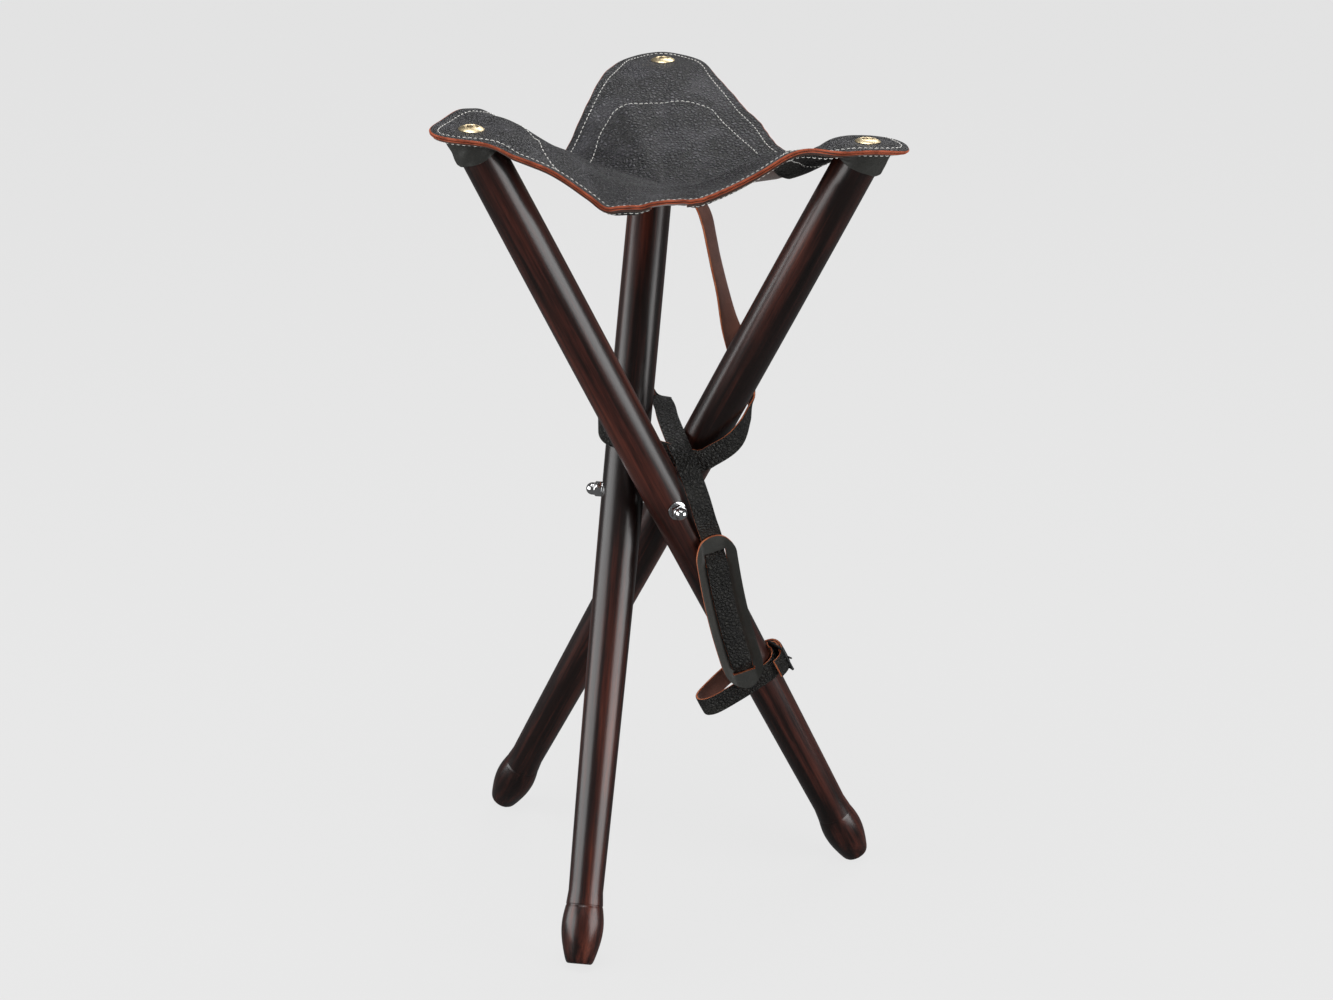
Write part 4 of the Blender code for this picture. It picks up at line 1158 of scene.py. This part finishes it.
# straps
strap = {
    "width": 0.0200, "thick": 0.0022, "crown": 0.00012, "steps": 9,
    "route": [  # beside the bolt, with the way the grain faces
        ((-0.0060, 0.0060, 0.2876), (0.00, 0.00, -1.00)),
        ((0.0100, 0.0050, 0.2876), (0.00, 0.00, -1.00)),
        ((0.0235, 0.0035, 0.2848), (-0.40, 0.10, -0.92)),
        ((0.0316, 0.0045, 0.2775), (-0.85, 0.25, -0.45)),
        ((0.0378, 0.0080, 0.2624), (-0.95, 0.30, 0.00)),
        ((0.0420, 0.0110, 0.2430), (-0.95, 0.30, 0.00)),
        ((0.0464, 0.0130, 0.2224), (-0.95, 0.30, 0.00)),
        ((0.0530, 0.0160, 0.1950), (-0.92, 0.35, 0.00)),
        ((0.0596, 0.0185, 0.1667), (-0.80, 0.60, 0.05)),
        ((0.0672, 0.0215, 0.1429), (-0.40, 0.90, 0.15)),
        ((0.0745, 0.0225, 0.1190), (0.30, 0.90, 0.25)),
        ((0.0834, 0.0150, 0.0922), (0.85, 0.50, 0.20)),
        ((0.0814, 0.0005, 0.0774), (1.00, -0.15, 0.10)),
        ((0.0718, -0.0115, 0.0602), (0.65, -0.75, 0.10)),
        ((0.0534, -0.0165, 0.0469), (0.25, -0.95, 0.10)),
        ((0.0390, -0.0178, 0.0409), (0.05, -1.00, 0.05)),
        ((0.0080, -0.0140, 0.0450), (-0.10, -1.00, 0.10)),
        ((-0.0100, -0.0090, 0.0475), (-0.25, -0.95, 0.25)),
        ((-0.0300, -0.0010, 0.0500), (-0.30, -0.85, 0.45)),
        ((-0.0495, 0.0060, 0.0540), (-0.85, -0.45, 0.20)),
        ((-0.0590, 0.0240, 0.0600), (-1.00, 0.10, 0.00)),
        ((-0.0548, 0.0497, 0.0670), (-0.65, 0.70, -0.35)),
        ((-0.0370, 0.0670, 0.0700), (0.00, 0.88, -0.47)),
        ((-0.0215, 0.0745, 0.0700), (0.05, 0.85, 0.10)),
        ((-0.0095, 0.0745, 0.0705), (0.05, 0.55, 0.75)),
        ((-0.0068, 0.0640, 0.0712), (0.00, 0.05, 1.00)),
        ((-0.0001, 0.0430, 0.0705), (0.00, -0.15, 1.00)),
        ((0.0060, 0.0195, 0.0676), (0.10, -0.55, 0.80)),
        ((0.0156, -0.0035, 0.0592), (0.20, -0.85, 0.50)),
        ((0.0263, -0.0220, 0.0468), (0.28, -0.90, 0.35)),
        ((0.0362, -0.0335, 0.0300), (0.30, -0.92, 0.25)),
        ((0.0448, -0.0375, 0.0097), (0.31, -0.93, 0.20)),
        ((0.0510, -0.0378, -0.0095), (0.32, -0.93, 0.15)),
    ],
    "cuts": (17, 25),  # where one length passes to the next
}
pad = {
    "top": (0.0572, -0.0350, -0.0258), "end": (0.0950, -0.0125, -0.1820), "faces": (0.33, -0.93, 0.15),
    "width": 0.0390, "thick": 0.0030, "lip": 0.0068, "bow": -0.0045, "topRound": 0.0190, "endRound": 0.0340,
    "cutWide": 0.0425, "cutArea": 0.00600,
    "slots": (0.0215, 0.1385), "slotLong": 0.0126, "slotReach": 0.0068,
}


def throughPoints(points, steps):
    first = 2.0 * points[0] - points[1]
    last = 2.0 * points[-1] - points[-2]
    line = np.concatenate([[first], points, [last]])
    made = []
    for i in range(1, len(line) - 2):
        before, start, end, after = line[i - 1:i + 3]
        for k in range(steps):
            t = k / steps
            bend = 2.0 * before - 5.0 * start + 4.0 * end - after
            twist = 3.0 * start - before - 3.0 * end + after
            made.append(0.5 * (2.0 * start + (end - before) * t + bend * t * t + twist * t ** 3))
    made.append(line[-2])
    return np.array(made)


def unit(rows):
    return rows / np.linalg.norm(rows, axis=-1, keepdims=True)


def strapSection(width, thick, crown):
    # across, lift and paint for the strip that starts at each point
    half, lift, ease = width / 2.0, thick / 2.0, 0.00045
    rows = []
    for k in range(9):
        x = (half - ease) * (1.0 - k / 4.0)
        rows.append((x, lift + crown * (1.0 - (x / half) ** 2) - 0.00018 * abs(x / half) ** 6, 0))
    rows += [(-half + ease * 0.3, lift - ease * 0.45, 0), (-half, lift - ease * 1.3, 1),
             (-half, -lift + ease, 1), (-half + ease * 0.4, -lift + ease * 0.2, 2)]
    for k in range(5):
        x = -(half - ease) * (1.0 - k / 2.0)
        rows.append((x, -lift, 2))
    rows += [(half - ease * 0.4, -lift + ease * 0.2, 1), (half, -lift + ease, 1),
             (half, lift - ease * 1.3, 0), (half - ease * 0.3, lift - ease * 0.45, 0)]
    return rows


def sections(line, grains, width, thick):
    # the strap's outline at each point of its line
    ahead = unit(np.gradient(line, axis=0))
    side = unit(np.cross(ahead, grains))
    face = unit(np.cross(side, ahead))
    outline = strapSection(width, thick, strap["crown"])
    rows = [[line[i] + side[i] * x + face[i] * y for x, y, paint in outline] for i in range(len(line))]
    return np.array(rows), [paint for x, y, paint in outline]


def ribbonPiece(name, rows, paintOfStrip, own):
    # a strap with grain on its face, bare edges and its flesh side behind
    count = rows.shape[1]
    faces, paintOf = [], []
    for r in range(len(rows) - 1):
        for i in range(count):
            j = (i + 1) % count
            faces.append((r * count + i, r * count + j, (r + 1) * count + j, (r + 1) * count + i))
            paintOf.append(paintOfStrip[i])
    faces.append(tuple(range(count))[::-1])
    faces.append(tuple((len(rows) - 1) * count + i for i in range(count)))
    paintOf += [1, 1]
    paints = [finishes[p] for p in ("strapGrain", "strapEdge", "strapFlesh")]
    mesh = meshOf(name, rows.reshape(-1, 3), faces, paints, paintOf)
    faceOutwards(mesh, 62.0)
    keepPlace(mesh, None, own)
    return addPiece(name, mesh)


def unrolled(line, rows):
    # a flat place for each point, so that the grain isn't stretched round the bends
    run = np.concatenate([[0.0], np.cumsum(np.linalg.norm(np.diff(line, axis=0), axis=1))])
    outline = strapSection(strap["width"], strap["thick"], 0.0)
    own = np.zeros(rows.shape)
    for i in range(rows.shape[1]):
        own[:, i, 0] = run
        own[:, i, 1] = outline[i][0]
        own[:, i, 2] = outline[i][1]
    return own


padTop, padEnd = np.array(pad["top"]), np.array(pad["end"])
padLong = float(np.linalg.norm(padEnd - padTop))
padAlong = (padEnd - padTop) / padLong
padSide = unit(np.cross(np.array(pad["faces"]), padAlong))
padFace = unit(np.cross(padAlong, padSide))
behindPad = pad["thick"] / 2.0 + 2.0 * 0.0003 + strap["thick"] / 2.0


def padPoint(along, across, lift):
    # the leaf bows a little towards the stool's middle
    bow = pad["bow"] * math.sin(math.pi * min(max(along / padLong, 0.0), 1.0))
    return padTop + padAlong * along + padSide * (across + bow) + padFace * lift


def lengthOf(line):
    return float(np.linalg.norm(np.diff(line, axis=0), axis=1).sum())


def carryStrap():
    route = [(np.array(p), np.array(g)) for p, g in strap["route"]]
    high, low = pad["slots"]
    reach = pad["slotReach"]
    for along, lift in ((0.003, -1.10), (high - reach, -1.05), (high, 0.0), (high + reach, 1.05),
                        (0.050, 1.0), (0.080, 1.0), (0.110, 1.0), (low - reach, 1.05), (low, 0.0),
                        (low + reach, -1.05), (padLong - 0.002, -1.10)):
        route.append((padPoint(along, 0.0, lift * behindPad), padFace))
    line = throughPoints(np.array([p for p, g in route]), strap["steps"]) + hubRow
    grains = throughPoints(np.array([g for p, g in route]), strap["steps"])
    rows, paintOfStrip = sections(line, grains, strap["width"], strap["thick"])
    own = unrolled(line, rows)
    cuts = [0] + [c * strap["steps"] for c in strap["cuts"]] + [len(line) - 1]
    made = []
    for label, start, end in zip(("upper", "middle", "lower"), cuts, cuts[1:]):
        made.append(ribbonPiece(f"carry_strap_{label}", rows[start:end + 1], paintOfStrip,
                                own[start:end + 1].reshape(-1, 3)))
    return made, [lengthOf(line[a:b + 1]) for a, b in zip(cuts, cuts[1:])], lengthOf(line)


(upperStrap, middleStrap, lowerStrap), carryLengths, carryLength = carryStrap()
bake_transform(upperStrap)
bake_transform(middleStrap)
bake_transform(lowerStrap)
for piece, length, support in zip((upperStrap, middleStrap, lowerStrap), carryLengths,
                                  ("seat_lining", "leg_c", "shoulder_pad")):
    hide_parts("carry_strap")
print("carry strap made, metres long:", round(carryLength, 4))


# shoulder pad
def shoulderPad():
    # a cupped leaf of leather with two slots
    alongs = np.unique(np.concatenate([
        padLong * (0.5 - 0.5 * np.cos(np.pi * np.linspace(0.0, 1.0, 61))),
        [pad["slots"][0] - pad["slotLong"] / 2.0, pad["slots"][0] + pad["slotLong"] / 2.0,
         pad["slots"][1] - pad["slotLong"] / 2.0, pad["slots"][1] + pad["slotLong"] / 2.0]]))
    slotHalf = strap["width"] / 2.0 + 0.0003
    wide = pad["width"] / 2.0
    shares = np.concatenate([np.linspace(-1.0, -0.62, 10), np.linspace(-0.54, 0.54, 15),
                             np.linspace(0.62, 1.0, 10)])

    def outline(along):
        end = min(along / pad["topRound"], (padLong - along) / pad["endRound"])
        return wide * math.sqrt(max(1.0 - max(1.0 - end, 0.0) ** 2.0, 0.004))

    def surface(along, share, lift):
        half = outline(along)
        across = share * half
        cup = pad["lip"] * float(smooth((abs(across) / wide - 0.50) / 0.62)) * 1.15
        return padPoint(along, across, cup + lift), across

    top, bottom, crosses = [], [], []
    lift = pad["thick"] / 2.0
    for along in alongs:
        pairs = [surface(along, s, 0.0) for s in shares]
        crosses.append([c for p, c in pairs])
        top.append([p + padFace * lift for p, c in pairs])
        bottom.append([p - padFace * lift for p, c in pairs])
    top, bottom = np.array(top) + hubRow, np.array(bottom) + hubRow
    rows, count = top.shape[0], top.shape[1]
    keep = np.ones((rows - 1, count - 1), bool)
    for r in range(rows - 1):
        middle = (alongs[r] + alongs[r + 1]) / 2.0
        for c in range(count - 1):
            across = (crosses[r][c] + crosses[r][c + 1] + crosses[r + 1][c] + crosses[r + 1][c + 1]) / 4.0
            for slot in pad["slots"]:
                if abs(middle - slot) < pad["slotLong"] / 2.0 and abs(across) < slotHalf:
                    keep[r, c] = False
    points = np.concatenate([top.reshape(-1, 3), bottom.reshape(-1, 3)])
    under = rows * count
    faces, paintOf = [], []
    for r in range(rows - 1):
        for c in range(count - 1):
            if keep[r, c]:
                a = r * count + c
                faces.append((a, a + 1, a + count + 1, a + count))
                faces.append((under + a, under + a + count, under + a + count + 1, under + a + 1))
                paintOf += [0, 2]
            for nr, nc, first, second in ((r - 1, c, (r, c), (r, c + 1)),
                                          (r + 1, c, (r + 1, c + 1), (r + 1, c)),
                                          (r, c - 1, (r + 1, c), (r, c)),
                                          (r, c + 1, (r, c + 1), (r + 1, c + 1))):
                outside = not (0 <= nr < rows - 1 and 0 <= nc < count - 1) or not keep[nr, nc]
                if keep[r, c] and outside:
                    p, q = first[0] * count + first[1], second[0] * count + second[1]
                    faces.append((p, under + p, under + q, q))
                    paintOf.append(1)
    mesh = meshOf("shoulder_pad_leather", points, faces,
                  [finishes["padGrain"], finishes["strapEdge"], finishes["strapFlesh"]], paintOf)
    faceOutwards(mesh, trim=True)
    made = addPiece("shoulder_pad_leather", mesh)
    easeEdges(made, 0.0006, 3, 50.0)
    keepPlace(made.data)
    return made


padPiece = shoulderPad()
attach(padPiece, "leg_a_body")
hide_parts("shoulder_pad")
print("shoulder pad made")


# buckled loop round leg a
loop = {
    "at": -0.1980, "reach": 0.0650, "lean": 0.0040, "radius": 0.0206,
    "fold": 0.0240, "flap": 0.0274, "tip": 0.0301, "barAngle": 104.0, "width": 0.0190, "steps": 7,
}
loopPlace = legPlace("a") @ Matrix.Translation((0.0, 0.0, loop["at"]))


def loopPoint(radius, degrees):
    angle = math.radians(degrees)
    return np.array((radius * math.cos(angle), radius * math.sin(angle), 0.0))


def slackPoint(across, share):
    return np.array((across + loop["lean"] * float(smooth(1.5 * share - 0.2)), -loop["reach"] * share, 0.0))


def loopStrap():
    line = [loopPoint(loop["flap"], 66.0), loopPoint(loop["flap"], 84.0), loopPoint(loop["flap"], 100.0),
            loopPoint(loop["fold"], loop["barAngle"] + 9.5), loopPoint(loop["radius"], 100.0),
            loopPoint(loop["radius"], 80.0), loopPoint(loop["radius"], 50.0),
            loopPoint(loop["radius"], 20.0),
            slackPoint(0.0200, 0.12), slackPoint(0.0175, 0.455), slackPoint(0.0125, 0.82),
            slackPoint(0.0070, 0.962), slackPoint(0.0, 1.0), slackPoint(-0.0070, 0.955),
            slackPoint(-0.0125, 0.803), slackPoint(-0.0180, 0.455), slackPoint(-0.0210, 0.09),
            loopPoint(loop["radius"] + 0.0006, 160.0), loopPoint(0.0240, 136.0), loopPoint(0.0285, 118.0),
            loopPoint(loop["tip"], 104.0), loopPoint(loop["tip"], 84.0), loopPoint(loop["tip"], 64.0),
            loopPoint(loop["tip"] - 0.0006, 44.0), loopPoint(loop["tip"] - 0.0020, 26.0)]
    flat = throughPoints(np.array(line), loop["steps"])
    ahead = unit(np.gradient(flat, axis=0))
    grains = np.cross(np.array((0.0, 0.0, 1.0)), ahead)
    rows, paintOfStrip = sections(flat, grains, loop["width"], strap["thick"])
    own = unrolled(flat, rows).reshape(-1, 3) + np.array((2.0, 0.0, 0.0))
    matrix = np.array(loopPlace)
    placed = rows @ matrix[:3, :3].T + matrix[:3, 3]
    return ribbonPiece("loop_strap_leather", placed, paintOfStrip, own), lengthOf(flat)


loopPiece, loopLength = loopStrap()
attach(loopPiece, "leg_a_body")
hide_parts("loop_strap")
for node in ("buckle_frame", "buckle_prong"):
    refinish(node, "blackSteel")
print("loop made, metres long:", round(loopLength, 4))


# stitches
stitch = {
    "pitch": 0.0049, "long": 0.0033, "thread": 0.00043, "rise": 0.00060, "sink": 0.00050, "seed": 7,
    "arch": {  # outward and counter-clockwise on each lobe
        "a": [(0.1445, 0.0530), (0.1454, 0.0303), (0.1400, 0.0120), (0.1366, -0.0017), (0.1385, -0.0200),
              (0.1440, -0.0400), (0.1445, -0.0530)],
        "c": [(0.0430, 0.0720), (0.0857, 0.0600), (0.1045, 0.0475), (0.1070, 0.0430), (0.1128, 0.0224),
              (0.1172, 0.0060), (0.1186, -0.0056), (0.1175, -0.0240), (0.1146, -0.0435), (0.1120, -0.0462),
              (0.0780, -0.0678), (0.0490, -0.0840)],
    },
}


def stitchTree():
    # threads laid along a line, each an arch that dips into the leather at both ends
    tree = bpy.data.node_groups.new("stitchRow", "GeometryNodeTree")
    face = tree.interface
    ids = {}
    face.new_socket("Geometry", in_out="OUTPUT", socket_type="NodeSocketGeometry")
    face.new_socket("Geometry", in_out="INPUT", socket_type="NodeSocketGeometry")
    for label in ("Pitch", "Stitch Length", "Thread Radius", "Rise", "Sink"):
        made = face.new_socket(label, in_out="INPUT", socket_type="NodeSocketFloat")
        ids[label] = made.identifier
    ids["Seed"] = face.new_socket("Seed", in_out="INPUT", socket_type="NodeSocketInt").identifier
    ids["Thread"] = face.new_socket("Thread", in_out="INPUT", socket_type="NodeSocketMaterial").identifier
    board = Board(tree)
    source = tree.nodes.new("NodeGroupInput")
    given = {s.name: Signal(board, s) for s in source.outputs if s.name}
    line = board.node("GeometryNodeMeshToCurve", {}, {"Mesh": given["Geometry"]})
    points = tree.nodes.new("GeometryNodeCurveToPoints")
    points.mode = "LENGTH"
    board.feed(points.inputs["Curve"], line)
    board.feed(points.inputs["Length"], given["Pitch"])
    facing = board.node("GeometryNodeInputNamedAttribute", {"data_type": "FLOAT_VECTOR"},
                        {"Name": "facing"})
    lie = board.node("FunctionNodeAlignRotationToVector", {"axis": "X"},
                     {"Vector": Signal(board, points.outputs["Tangent"])})
    stand = board.node("FunctionNodeAlignRotationToVector", {"axis": "Z", "pivot_axis": "X"},
                       {"Rotation": lie, "Vector": facing})
    chance = board.node("FunctionNodeRandomValue", {"data_type": "FLOAT_VECTOR"},
                        {"Min": (0.90, 0.85, 0.80), "Max": (1.10, 1.12, 1.15), "Seed": given["Seed"]})
    half = given["Stitch Length"] * 0.5
    start = board.node("ShaderNodeCombineXYZ", {}, {"X": half * -1.0, "Z": given["Sink"] * -1.0})
    middle = board.node("ShaderNodeCombineXYZ", {}, {"Z": given["Rise"] * 2.0})
    end = board.node("ShaderNodeCombineXYZ", {}, {"X": half, "Z": given["Sink"] * -1.0})
    arch = board.node("GeometryNodeCurveQuadraticBezier", {}, {"Resolution": 6, "Start": start,
                                                               "Middle": middle, "End": end})
    ring = board.node("GeometryNodeCurvePrimitiveCircle", {}, {"Resolution": 6,
                                                               "Radius": given["Thread Radius"]})
    thread = board.node("GeometryNodeCurveToMesh", {}, {"Curve": arch, "Profile Curve": ring,
                                                        "Fill Caps": True})
    laid = board.node("GeometryNodeInstanceOnPoints", {},
                      {"Points": Signal(board, points.outputs["Points"]), "Instance": thread,
                       "Rotation": stand, "Scale": chance})
    real = board.node("GeometryNodeRealizeInstances", {}, {"Geometry": laid})
    soft = board.node("GeometryNodeSetShadeSmooth", {}, {"Geometry": real})
    painted = board.node("GeometryNodeSetMaterial", {}, {"Geometry": soft, "Material": given["Thread"]})
    target = tree.nodes.new("NodeGroupOutput")
    board.feed(target.inputs["Geometry"], painted)
    return tree, ids


stitchGroup, stitchIds = stitchTree()


def stitchLine(name, runs):
    # runs: lists of (point, facing); the result is one mesh of threads
    points, edges, facings = [], [], []
    for run, faces in runs:
        start = len(points)
        points += [tuple(p) for p in run]
        facings += [tuple(f) for f in faces]
        edges += [(start + i, start + i + 1) for i in range(len(run) - 1)]
    mesh = bpy.data.meshes.new(name)
    mesh.from_pydata(points, edges, [])
    stored = mesh.attributes.new("facing", "FLOAT_VECTOR", "POINT")
    stored.data.foreach_set("vector", np.array(facings, dtype=np.float32).ravel())
    made = addPiece(name, mesh)
    sew = made.modifiers.new("sew", "NODES")
    sew.node_group = stitchGroup
    for label, value in (("Pitch", stitch["pitch"]), ("Stitch Length", stitch["long"]),
                         ("Thread Radius", stitch["thread"]), ("Rise", stitch["rise"]),
                         ("Sink", stitch["sink"])):
        sew[stitchIds[label]] = value
    sew[stitchIds["Seed"]] = stitch["seed"]
    sew[stitchIds["Thread"]] = finishes["thread"]
    return settle(made)


def rimRun(name, depth, under, half=60.0):
    degrees = lobeAxis(name) + np.linspace(-half, half, 241)
    radius = aroundRim(degrees, 1) - seat["stitchIn"] * rimSlant(degrees)
    x, y = radius * np.cos(np.radians(degrees)), radius * np.sin(np.radians(degrees))
    run, faces = onSeat(x, y, np.full_like(x, depth))
    return run, (-faces if under else faces)


def archRun(name, depth, under):
    # straight runs with small rounded corners, in the lobe's own directions
    corners = np.array(stitch["arch"].get(name, stitch["arch"]["a"]))
    fine = []
    for p, q in zip(corners, corners[1:]):
        fine += [p + (q - p) * k / 12.0 for k in range(12)]
    fine = np.array(fine + [corners[-1]])
    for again in range(2):
        fine[1:-1] = 0.25 * fine[:-2] + 0.5 * fine[1:-1] + 0.25 * fine[2:]
    out = heading(lobeAxis(name))
    x = fine[:, 0] * out.x - fine[:, 1] * out.y
    y = fine[:, 0] * out.y + fine[:, 1] * out.x
    run, faces = onSeat(x, y, np.full_like(x, depth))
    return run, (-faces if under else faces)


for name in "abc":
    made = stitchLine(f"stitches_{name}", [rimRun(name, seat["groove"], False), archRun(name, 0.0, False),
                                           rimRun(name, underDepth, True, 50.0),
                                           archRun(name, underDepth, True)])
    blendWithLeg(made)
print("stitches made")
